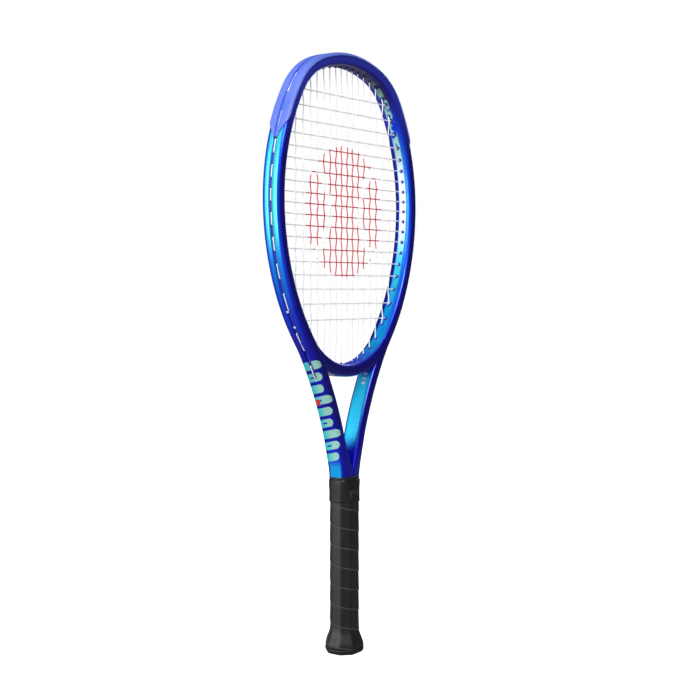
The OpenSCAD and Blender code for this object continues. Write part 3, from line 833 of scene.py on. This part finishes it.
def make_bridge(material):
    start = 128.0
    points, normals = arc_line(BRIDGE_ARC, start, 360 - start, 1.5)
    rings, walls = [], []
    for point, out in zip(points, normals):
        phi = math.degrees(math.atan2(abs(out[0]), out[1]))
        grooved = float(smoothstep(phi, 155.0, 160.0))
        thick = BRIDGE_EXTRA * float(smoothstep(phi, 136.0, 150.0))
        section = tube_section(TUBE_HALF_W - 0.12, BRIDGE_DEPTH / 2, GROOVE_DEPTH * grooved, thick)
        rings.append(place_ring(section, point, out))
        walls.append(section_wall(tube_section(TUBE_HALF_W, BRIDGE_DEPTH / 2, 0.0)))
    obj = loft("throat_bridge_skin", rings, material, {"wall": np.concatenate(walls)})
    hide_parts("throat_bridge")
    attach(obj, "racket")


# ---- Bumper guard and grommets ----
def bumper_section(reach, proud):
    """Half skin of the bumper: reach is how far its wings go round the tube, from 0 to 1."""
    channel = GROOVE_WIDTH / 2 - STRIP_BASE
    floor_u = TUBE_HALF_W - GROOVE_DEPTH + STRIP_BASE
    r = TUBE_CORNER + proud
    cu, cy = TUBE_HALF_W - TUBE_CORNER, TUBE_HALF_D - TUBE_CORNER
    flat_end = channel + 0.9 + (cy - channel - 0.9) * min(1.0, reach * 2.2)
    turn = 62.0 * max(0.0, (reach - 0.45) / 0.55)
    top = TUBE_HALF_W + proud
    half = [(floor_u, 0.0), (floor_u, channel * 0.6), (floor_u + 0.05, channel - 0.15),
            (floor_u + 0.5, channel), (top - 0.5, channel), (top - 0.12, channel + 0.12),
            (top, channel + 0.5), (top, (channel + flat_end) / 2 + 0.3), (top, flat_end)]
    half += corner(cu, flat_end, r, 0, turn, 8)[1:]
    last = math.radians(turn)
    inner = r - proud - 0.05
    half += [(cu + (r - 0.4) * math.cos(last + 0.06), flat_end + (r - 0.4) * math.sin(last + 0.06)),
             (cu + inner * math.cos(last + 0.03), flat_end + inner * math.sin(last + 0.03))]
    half += corner(cu, flat_end, inner, turn, 0, 3)[1:]
    half += [(TUBE_HALF_W - 0.05, channel + STRIP_BASE),
             (floor_u - STRIP_BASE, channel + STRIP_BASE - 0.05), (floor_u - STRIP_BASE, 0.0)]
    return mirror_half(half)


def make_bumper(material):
    points, normals = both_halves(hoop_line(0.0, BUMPER_END, 1.5))
    steps = np.linalg.norm(np.diff(points, axis=0), axis=1)
    along = np.concatenate([[0], np.cumsum(steps)])
    from_end = np.minimum(along, along[-1] - along)
    rings = []
    for point, out, distance in zip(points, normals, from_end):
        reach = float(smoothstep(distance, 0.0, 26.0)) ** 0.7
        proud = 0.35 + (BUMPER_PROUD - 0.35) * float(smoothstep(distance, 0.0, 10.0))
        rings.append(place_ring(bumper_section(reach, proud), point, out))
    obj = loft("bumper_guard_skin", rings, material)
    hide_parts("head_bumper_guard")
    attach(obj, "racket")


def hits(arcs, mouth, x=None, z=None):
    """The hole whose barrel's mouth a straight string meets, as (arc, angle)."""
    for arc in arcs:
        inner = arc.radius - mouth
        if x is not None:
            s = (x - arc.centre[0]) / inner
            phi = math.degrees(math.asin(s)) if abs(s) < 1 else 1e9
            phi = 180 - phi if arc.end > 91 else phi
        else:
            c = (z - arc.centre[1]) / inner
            phi = math.degrees(math.acos(c)) if abs(c) < 1 else 1e9
        if arc.start <= phi < arc.end:
            return arc, phi
    raise ValueError("a string misses the frame")


MOUTH = TUBE_HALF_W + BARREL_STAND
LOOP_GAP = 0.5  # between the strip and the loops of string that pass over it
LOOP_U = TUBE_HALF_W - GROOVE_DEPTH + STRIP_BASE + STRING_R + LOOP_GAP
EYELET_U = LOOP_U - STRING_R - LOOP_GAP
RIGHT_MAINS = [main_x(i) for i in range(MAINS_PER_SIDE)]
MAIN_TOPS = [hits((TIP_ARC, SHOULDER_ARC, SIDE_ARC), MOUTH, x=x) for x in RIGHT_MAINS]
MAIN_FEET = [hits((LOWER_ARC, BRIDGE_ARC), MOUTH, x=x) for x in RIGHT_MAINS]
CROSS_ENDS = {j: hits((SHOULDER_ARC, SIDE_ARC, LOWER_ARC), MOUTH, z=cross_z(j))
              for j in range(-CROSSES_PER_HALF, CROSSES_PER_HALF + 1)}


def shoulder_direction(i):
    return normal_at(146.0 if i == 3 else MAIN_FEET[i][1])


def shoulder_reach(i, offset):
    """How far a shoulder main runs from its mouth to the shaft's outer wall."""
    arc, phi = MAIN_FEET[i]
    start, way = arc.point(phi, -MOUTH), shoulder_direction(i)
    joint, bend_foot = np.array(JOINT), np.array(BEND_FOOT)
    if i == 5:
        return ((JOINT_POINT + offset * joint - start) @ joint) / (way @ joint)
    lead_end = JOINT_POINT + SHAFT_LEAD * np.array([joint[1], -joint[0]])
    run_c = lead_end + BEND_RADIUS * joint - BEND_RADIUS * bend_foot + RUN_RADIUS * bend_foot
    q = start - run_c
    b = q @ way
    return -b - math.sqrt(b * b - q @ q + (RUN_RADIUS - offset) ** 2)


def main_foot_exit(i):
    arc, phi = MAIN_FEET[i]
    if i < BRIDGE_MAINS:
        return arc.point(phi, LOOP_U + BRIDGE_EXTRA)
    if i < 6:
        return arc.point(phi, -MOUTH) + shoulder_reach(i, LOOP_U) * shoulder_direction(i)
    return arc.point(phi, LOOP_U)


def lift(point, y):
    return np.array([point[0], y, point[1]])


BARREL_PROFILE = [
    (0.82, -3.0), (0.82, 1.0), (0.86, 1.55), (1.05, 1.78), (1.32, 1.80), (1.52, 1.62), (1.60, 1.2),
    (1.64, 0.5), (1.85, 0.22), (2.25, 0.06), (2.45, -0.25), (1.5, -3.0),
]
EYELET_PROFILE = [
    (0.8, -1.4), (0.8, -0.15), (0.95, 0.14), (1.3, 0.22), (1.75, 0.2), (1.93, 0.02), (1.2, -1.4),
]


def barrel(pile, arc, phi, y, sides):
    base, way = arc.point(phi, -TUBE_HALF_W), normal_at(phi)
    for s in sides:
        place, axis = [s * base[0], y, base[1]], [-s * way[0], 0, -way[1]]
        pile.add(revolve(BARREL_PROFILE, place, axis), capped=False)


def eyelet(pile, point, way, y, sides):
    for s in sides:
        place, axis = [s * point[0], y, point[1]], [s * way[0], 0, way[1]]
        pile.add(revolve(EYELET_PROFILE, place, axis, 16), capped=False)


def square_hole(pile, holes, arc, phi, y, sides):
    """A barrel inside the tube and the eyelet outside it, square to the tube."""
    barrel(pile, arc, phi, y, sides)
    eyelet(holes, arc.point(phi, EYELET_U), normal_at(phi), y, sides)


def strip(pile, line, side):
    """The flat strip in the groove, with a low crown."""
    half = GROOVE_WIDTH / 2 - 0.06
    floor_u = TUBE_HALF_W - GROOVE_DEPTH
    top = floor_u + STRIP_BASE
    section = np.array([(floor_u + 0.02, -half), (top - 0.15, -half), (top, -half + 0.2),
                        (top + 0.08, 0),
                        (top, half - 0.2), (top - 0.15, half), (floor_u + 0.02, half)])
    rings = [place_ring(section, p, n) for p, n in zip(*line)]
    if side < 0:
        rings = [r * np.array([-1, 1, 1]) for r in rings][::-1]
    pile.add(rings)


def strip_line():
    points, normals = join_lines(hoop_line(BUMPER_END, None, 3.0), SHAFT)
    slope = np.degrees(np.arctan2(-normals[:, 1], normals[:, 0]))
    keep = (points[:, 1] > JOINT_POINT[1]) | (slope > STRIP_END_SLOPE + 0.4)
    return points[keep], normals[keep]


def make_grommets(material, bumper_grommet, dark):
    """Barrels inside the hoop and eyelets outside it, with the strips that carry them."""
    line = strip_line()
    holes = Pile()
    for side, node in ((1, "grommet_strip_right"), (-1, "grommet_strip_left")):
        pile = Pile()
        strip(pile, line, side)
        for arc, phi in CROSS_ENDS.values():
            if phi > BUMPER_END:
                square_hole(pile, holes, arc, phi, -WEAVE, (side,))
        for i in range(BRIDGE_MAINS, MAINS_PER_SIDE):
            arc, phi = MAIN_FEET[i]
            barrel(pile, arc, phi, WEAVE, (side,))
            way = shoulder_direction(i) if i < 6 else normal_at(phi)
            eyelet(holes, main_foot_exit(i) - way * (STRING_R + LOOP_GAP), way, WEAVE, (side,))
        obj = pile.build(node + "_skin", material)
        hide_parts(node)
        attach(obj, "racket")
    pile = Pile()
    for i in range(BRIDGE_MAINS):
        arc, phi = MAIN_FEET[i]
        barrel(pile, arc, phi, WEAVE, (-1, 1))
        way = normal_at(phi)
        eyelet(holes, main_foot_exit(i) - way * (STRING_R + LOOP_GAP), way, WEAVE, (-1, 1))
    half = GROOVE_WIDTH / 2 - 0.06
    floor_u = TUBE_HALF_W + BRIDGE_EXTRA - GROOVE_DEPTH
    section = np.array([(floor_u - 0.1, -half), (floor_u + 0.5, -half), (floor_u + 0.62, 0),
                        (floor_u + 0.5, half), (floor_u - 0.1, half)])
    pile.add([place_ring(section, p, n) for p, n in zip(*arc_line(BRIDGE_ARC, 160, 200, 1.5))])
    obj = pile.build("bridge_grommet_skin", material)
    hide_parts("bridge_grommet_strip")
    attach(obj, "racket")
    pile = Pile()
    for arc, phi in MAIN_TOPS:
        square_hole(pile, holes, arc, phi, WEAVE, (-1, 1))
    for arc, phi in CROSS_ENDS.values():
        if phi < BUMPER_END:
            square_hole(pile, holes, arc, phi, -WEAVE, (-1, 1))
    obj = pile.build("bumper_grommets", bumper_grommet)
    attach(obj, "racket")
    # the eyelets take the near-black material: painted shade for the string holes
    obj = holes.build("outer_eyelets", dark)
    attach(obj, "racket")


# ---- Strings ----
ALL_MAINS = [-x for x in reversed(RIGHT_MAINS)] + RIGHT_MAINS
ALL_CROSSES = list(range(-CROSSES_PER_HALF, CROSSES_PER_HALF + 1))
PER_CROSSING = 6


def woven(start, end, knots, base_y):
    """A straight run that rises and dips smoothly through its crossings: knots are (place, y)."""
    marks = [(start, base_y)] + knots + [(end, base_y)]
    places, heights = [start], [base_y]
    for (p0, y0), (p1, y1) in zip(marks, marks[1:]):
        for t in np.linspace(0, 1, PER_CROSSING + 1)[1:]:
            places.append(p0 + (p1 - p0) * t)
            heights.append(y0 + (y1 - y0) * (1 - math.cos(math.pi * t)) / 2)
    return places, heights


def over(main_number, j):
    return 1 if (main_number + j) % 2 == 0 else -1


def main_run(number, going_up):
    """Points of one main string, from its foot's exit to its top's exit or back."""
    x = ALL_MAINS[number]
    side = 1 if x > 0 else -1
    i = number - MAINS_PER_SIDE if x > 0 else MAINS_PER_SIDE - 1 - number
    top_arc, top_phi = MAIN_TOPS[i]
    foot_arc, foot_phi = MAIN_FEET[i]
    top, foot = top_arc.point(top_phi, -MOUTH), foot_arc.point(foot_phi, -MOUTH)
    knots = []
    for j in ALL_CROSSES:
        arc, phi = CROSS_ENDS[j]
        if abs(x) < arc.point(phi, -MOUTH)[0] and foot[1] < cross_z(j) < top[1]:
            knots.append((cross_z(j), WEAVE * over(number, j)))
    zs, ys = woven(foot[1], top[1], knots, WEAVE)
    inner = [np.array([x, y, z]) for z, y in zip(zs, ys)]
    exit_top = top_arc.point(top_phi, LOOP_U)
    exit_foot = main_foot_exit(i)
    path = [lift(exit_foot * [side, 1], WEAVE)] + inner + [lift(exit_top * [side, 1], WEAVE)]
    return path if going_up else path[::-1]


def string_object(name, points, node, material):
    pile = Pile()
    pile.add(tube_rings(rounded_path(points, 1.1, 3), STRING_R, 8))
    obj = pile.build(name, material)
    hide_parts(node)
    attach(obj, "racket")


def make_mains(material):
    points = []
    for number in range(2 * MAINS_PER_SIDE):
        points += main_run(number, going_up=number % 2 == 0)
    string_object("main_string", points, "main_strings", material)


def make_crosses(material):
    points = []
    for j in ALL_CROSSES:
        arc, phi = CROSS_ENDS[j]
        mouth, out = arc.point(phi, -MOUTH), arc.point(phi, LOOP_U)
        knots = [(x, -WEAVE * over(n, j)) for n, x in enumerate(ALL_MAINS) if abs(x) < mouth[0] - 1]
        xs, ys = woven(-mouth[0], mouth[0], knots, -WEAVE)
        run = [lift(out * [-1, 1], -WEAVE)] + [np.array([x, y, mouth[1]]) for x, y in zip(xs, ys)]
        run += [lift(out, -WEAVE)]
        points += run if (j + CROSSES_PER_HALF) % 2 == 0 else run[::-1]
    string_object("cross_string", points, "cross_strings", material)


KNOT_TURN_R, KNOT_THREAD_R = 0.65, 0.5
STRIP_KNOT_LIFT, BUMPER_KNOT_LIFT = 0.03, 0.95
MAIN_KNOT_Y, CROSS_KNOT_Y = WEAVE + 0.46, -WEAVE - 0.18


def make_knots(material):
    """Tie-off knots: two tight turns of string with a short tail."""
    pile = Pile()
    ties = [
        (CROSS_ENDS[-CROSSES_PER_HALF], -1, CROSS_KNOT_Y, STRIP_KNOT_LIFT),
        (CROSS_ENDS[CROSSES_PER_HALF], 1, CROSS_KNOT_Y, BUMPER_KNOT_LIFT),
        (MAIN_FEET[-1], -1, MAIN_KNOT_Y, STRIP_KNOT_LIFT),
        (MAIN_FEET[-1], 1, MAIN_KNOT_Y, STRIP_KNOT_LIFT),
    ]
    for (arc, phi), side, y, rise in ties:
        way = normal_at(phi) * [side, 1]
        across = np.array([way[1], -way[0]])
        centre = arc.point(phi, LOOP_U + rise) * [side, 1]
        turns = []
        for t in np.linspace(0, 1, 33):
            angle = t * 2.2 * 2 * math.pi
            spot = centre + way * (KNOT_TURN_R * math.cos(angle)) + across * (t - 0.5) * 1.3
            turns.append(np.array([spot[0], y + KNOT_TURN_R * math.sin(angle), spot[1]]))
        tail = turns[-1] + np.array([across[0], 0.2, across[1]]) * 0.9
        pile.add(tube_rings(turns + [tail], KNOT_THREAD_R, 8))
    obj = pile.build("tie_knots", material)
    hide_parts("string_knots")
    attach(obj, "racket")


# ---- Handle ----
BEVEL = 0.29
PER_SIDE = 10


def octagon_ring(half_x, half_y, z, soft):
    """An octagon with softened corners: the same number of points at every height."""
    cut = BEVEL * 2 * min(half_x, half_y)
    corners = []
    for sx, sy in ((1, 1), (-1, 1), (-1, -1), (1, -1)):
        a, b = (sx * half_x, sy * (half_y - cut)), (sx * (half_x - cut), sy * half_y)
        corners += [a, b] if sx * sy > 0 else [b, a]
    corners = [np.array(c, float) for c in corners]
    ring = []
    for k in range(8):
        before, here, after = corners[k - 1], corners[k], corners[(k + 1) % 8]
        a, b = (before - here), (after - here)
        a, b = a / np.linalg.norm(a), b / np.linalg.norm(b)
        start, end = here + a * soft, here + b * soft
        for t in np.linspace(0, 1, PER_SIDE // 2):
            ring.append((1 - t) ** 2 * start + 2 * t * (1 - t) * here + t * t * end)
        following = after - b * soft
        for t in np.linspace(0, 1, PER_SIDE // 2 + 2)[1:-1]:
            ring.append(end + (following - end) * t)
    ring = np.array(ring)
    return np.column_stack([ring, np.full(len(ring), z)])


def wrapped_half(z):
    """Half sizes of the wrapped handle at a height: straight, then the flare to the butt."""
    bulge = FLARE_OUT * (1 - float(smoothstep(z, FLARE_Z, FLARE_TOP))) ** 1.15
    return GRIP_X / 2 + bulge, GRIP_Y / 2 + bulge


WRAP_INSET = 0.48  # keeps the proud edge of each turn inside the CAD
SEAM_PITCH = 22.9
SEAM_START = 44.5
SEAM_RISE = 0.55


def make_grip(material):
    """The spiral wrap: each turn overlaps the one below, so its lower edge stands proud."""
    zs = list(np.arange(BARE_FOOT, WRAP_TOP, 0.7)) + [WRAP_TOP]
    rings, turns, alongs = [], [], []
    for z in zs:
        half_x, half_y = wrapped_half(z)
        foot = 1 - float(smoothstep(z, BARE_FOOT, BARE_FOOT + 1.6))
        ring = octagon_ring(half_x - WRAP_INSET - 0.5 * foot, half_y - WRAP_INSET - 0.5 * foot, z, 2.0)
        angle = np.unwrap(np.arctan2(ring[:, 1], ring[:, 0]))
        turn = (z - SEAM_START + SEAM_PITCH * angle / (2 * math.pi)) / SEAM_PITCH
        phase = turn - np.floor(turn)
        rise = SEAM_RISE * (1 - phase) * smoothstep(phase, 0.0, 0.03)
        dip = 0.22 * (1 - smoothstep(np.minimum(phase, 1 - phase), 0.0, 0.02))
        length = np.linalg.norm(ring[:, :2], axis=1)[:, None]
        ring[:, :2] *= 1 + (rise - dip)[:, None] / length
        rings.append(ring)
        turns.append(phase)
        alongs.append(angle / (2 * math.pi) + np.floor(turn))
    inner = [octagon_ring(GRIP_X / 2 - GRIP_WALL + 0.2, GRIP_Y / 2 - GRIP_WALL + 0.2, z, 2.0)
             for z in (WRAP_TOP, 30.0)]
    inner.append(octagon_ring(*[h - 1.6 for h in wrapped_half(BARE_FOOT)], BARE_FOOT, 2.0))
    extra = np.zeros(len(rings[0]))
    turns += [extra] * len(inner)
    alongs += [extra] * len(inner)
    obj = sleeve("grip_wrap", rings + inner, material,
                 {"turn": np.concatenate(turns), "along": np.concatenate(alongs)})
    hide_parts("base_grip")
    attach(obj, "racket")


def superellipse_ring(half_x, half_y, z, power, like):
    """A rounded ring with its points in the same directions as another ring's."""
    angle = np.arctan2(like[:, 1], like[:, 0])
    c, s = np.cos(angle), np.sin(angle)
    r = (np.abs(c / half_x) ** power + np.abs(s / half_y) ** power) ** (-1 / power)
    return np.column_stack([r * c, r * s, np.full(len(r), z)])


def make_collar(material):
    """Rubber sleeve: octagonal at its foot, rounder at the top, with a thin lip."""
    profile = [(0.0, -0.9), (0.05, -0.35), (0.5, 0.0), (1.4, 0.1), (3.0, 0.0), (7.0, 0.0),
               (12.0, 0.0), (17.0, 0.0), (20.5, 0.0), (23.5, 0.0), (24.9, -0.1), (25.7, -0.45),
               (26.0, -0.95), (26.3, -1.0), (26.7, -0.75), (27.3, -0.62), (28.5, -0.62),
               (29.2, -0.75), (29.45, -1.2), (29.5, -2.2)]
    rings = []
    for rise, inset in profile:
        z = COLLAR_BOTTOM + rise
        t = float(smoothstep(rise, 0.0, 27.0))
        straight_part = octagon_ring(GRIP_X / 2 + COLLAR_WALL + inset,
                                     GRIP_Y / 2 + COLLAR_WALL + inset, z, 2.2)
        round_part = superellipse_ring(COLLAR_X + inset, COLLAR_Y + inset, z, 3.0, straight_part)
        rings.append(straight_part * (1 - t) + round_part * t)
    rings.append(superellipse_ring(10.0, 8.0, HANDLE_TOP, 3.0, rings[0]))
    for z, wall in ((COLLAR_BOTTOM + 14.0, -1.5), (COLLAR_BOTTOM + 0.6, -0.2)):
        rings.append(octagon_ring(GRIP_X / 2 + wall, GRIP_Y / 2 + wall, z, 2.0))
    obj = sleeve("collar_sleeve", rings, material)
    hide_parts("grip_collar")
    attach(obj, "racket")


def circle_ring(radius, z, like):
    angle = np.arctan2(like[:, 1], like[:, 0])
    return np.column_stack([radius * np.cos(angle), radius * np.sin(angle), np.full(len(angle), z)])


def make_butt(material):
    """The cap's foot: a rounded octagonal lip round a flat end with a moulded ring."""
    half_x, half_y = wrapped_half(BARE_FOOT)
    like = octagon_ring(half_x, half_y, 0.0, 3.0)
    hole, step = DOOR_R + DOOR_GAP, DOOR_R - DOOR_STEP + DOOR_GAP
    mouth = [(step, 3.0), (step, DOOR_RIM), (hole, DOOR_RIM), (hole, 0.35), (hole + 0.3, 0.05),
             (hole + 0.8, 0.0), (hole + 1.6, 0.0), (hole + 1.9, 0.35), (hole + 2.5, 0.35),
             (hole + 2.8, 0.0)]
    rings = [circle_ring(radius, z, like) for radius, z in mouth]
    edge = [(-4.4, 0.0), (-3.0, 0.25), (-1.8, 0.85), (-0.9, 1.8), (-0.3, 3.1), (0.0, 4.6),
            (0.0, 5.8), (-0.25, 6.3), (-0.9, 6.6), (-2.0, 6.8)]
    rings += [octagon_ring(half_x + g, half_y + g, z, 3.0) for g, z in edge]
    inner_x, inner_y = GRIP_X / 2 - GRIP_WALL, GRIP_Y / 2 - GRIP_WALL
    rings += [octagon_ring(inner_x - 0.05, inner_y - 0.05, SKIRT_TOP, 2.0),
              octagon_ring(inner_x - 1.6, inner_y - 1.6, SKIRT_TOP, 2.0),
              octagon_ring(inner_x - 1.6, inner_y - 1.6, 3.0, 2.0)]
    obj = sleeve("butt_cap_shell", rings, material, turned=False)
    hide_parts("butt_cap")
    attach(obj, "racket")


def make_door(material):
    """Trap door: a bevelled disc with a sunk ring and a finger hollow, on a short plug."""
    plug = DOOR_R - DOOR_STEP
    thick = DOOR_RIM - DOOR_GAP
    finger_hollow = [(0.001, 0.55), (2.6, 0.5), (3.6, 0.2), (4.2, 0.0)]
    sunk_ring = [(6.4, 0.0), (6.6, 0.25), (7.2, 0.25), (7.4, 0.0)]
    rim = [(DOOR_R - 0.3, 0.0), (DOOR_R, 0.3), (DOOR_R, thick), (plug, thick)]
    plug_wall = [(plug, DOOR_HEIGHT - 0.3), (plug - 0.3, DOOR_HEIGHT), (plug - 1.2, DOOR_HEIGHT),
                 (plug - 1.5, DOOR_HEIGHT - 0.3), (plug - 1.5, 1.3), (0.001, 1.2)]
    profile = finger_hollow + sunk_ring + rim + plug_wall
    pile = Pile()
    pile.add(revolve(profile, [0, 0, 0], [0, 0, 1], 72), capped=False)
    obj = pile.build("trap_door_disc", material)
    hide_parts("butt_trap_door")
    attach(obj, "door")


def repaint(names, material):
    for name in names:
        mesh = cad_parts[name].data
        mesh.materials.clear()
        mesh.materials.append(material)


make_camera()
make_world()
make_lights()
make_floor()

lacquer = paint_material()
plastic = clouded_material(
    "cap_plastic", (60.0, 4.0, (0.006, 0.006, 0.007), (0.014, 0.014, 0.016)),
    (0.36, 0.55, 140.0), ((2100.0,), 0.2, 0.0002),
    (260.0, 5.0, 0.75, 0.62, 0.70, 0.4, (0.08, 0.08, 0.085)))
strings = string_material()
make_hairpin(lacquer)
make_bridge(lacquer)
make_bumper(clouded_material(
    "bumper_nylon", (45.0, 3.0, (0.10, 0.17, 0.74), (0.16, 0.26, 0.90)), (0.38, 0.52, 160.0),
    ((1500.0, 4.0), 0.25, 0.0003), (220.0, 5.0, 0.7, 0.60, 0.72, 0.35, (0.30, 0.42, 0.95)),
    Specular_IOR_Level=0.55))
# the eyelets are near-black: painted shade standing in for the dark string holes
make_grommets(nylon_material("grommet_nylon", (0.015, 0.018, 0.30), (0.045, 0.045, 0.52)),
              nylon_material("bumper_grommet_nylon", (0.010, 0.008, 0.16), (0.03, 0.03, 0.34)),
              nylon_material("eyelet_shade_black", (0.002, 0.001, 0.020), (0.006, 0.004, 0.060)))
make_mains(strings)
make_crosses(strings)
make_knots(strings)
make_grip(grip_material())
make_collar(clouded_material(
    "collar_rubber", (90.0, 4.0, (0.006, 0.006, 0.0065), (0.013, 0.013, 0.0135)),
    (0.40, 0.55, 200.0), ((1700.0, 4.0), 0.22, 0.0002),
    (700.0, 4.0, 0.7, 0.62, 0.75, 0.25, (0.07, 0.07, 0.07))))
make_butt(plastic)
make_door(plastic)
repaint(("handle_tubes",), woven_material(
    "bare_carbon", 700.0, (0.012, 0.012, 0.013), (0.035, 0.035, 0.037),
    (0.25, 0.4, 200.0), 0.15, coat=0.5))
repaint(("pallet_front", "pallet_back"), clouded_material(
    "pallet_foam", (80.0, 4.0, (0.10, 0.10, 0.105), (0.17, 0.17, 0.175)), (0.7, 0.9, 200.0),
    ((900.0,), 0.4, 0.0004)))
repaint(("butt_staples", "grip_tack"), clouded_material(
    "zinc_wire", (400.0, 4.0, (0.45, 0.45, 0.46), (0.68, 0.68, 0.70)), (0.25, 0.45, 700.0),
    ((2500.0, 3.0), 0.1, 0.0001), Metallic=1.0))
repaint(("finishing_tape",), woven_material(
    "cloth_tape", 1600.0, (0.02, 0.02, 0.02), (0.05, 0.05, 0.05), (0.7, 0.9, 300.0), 0.3))

bpy.context.scene.view_settings.view_transform = "Standard"
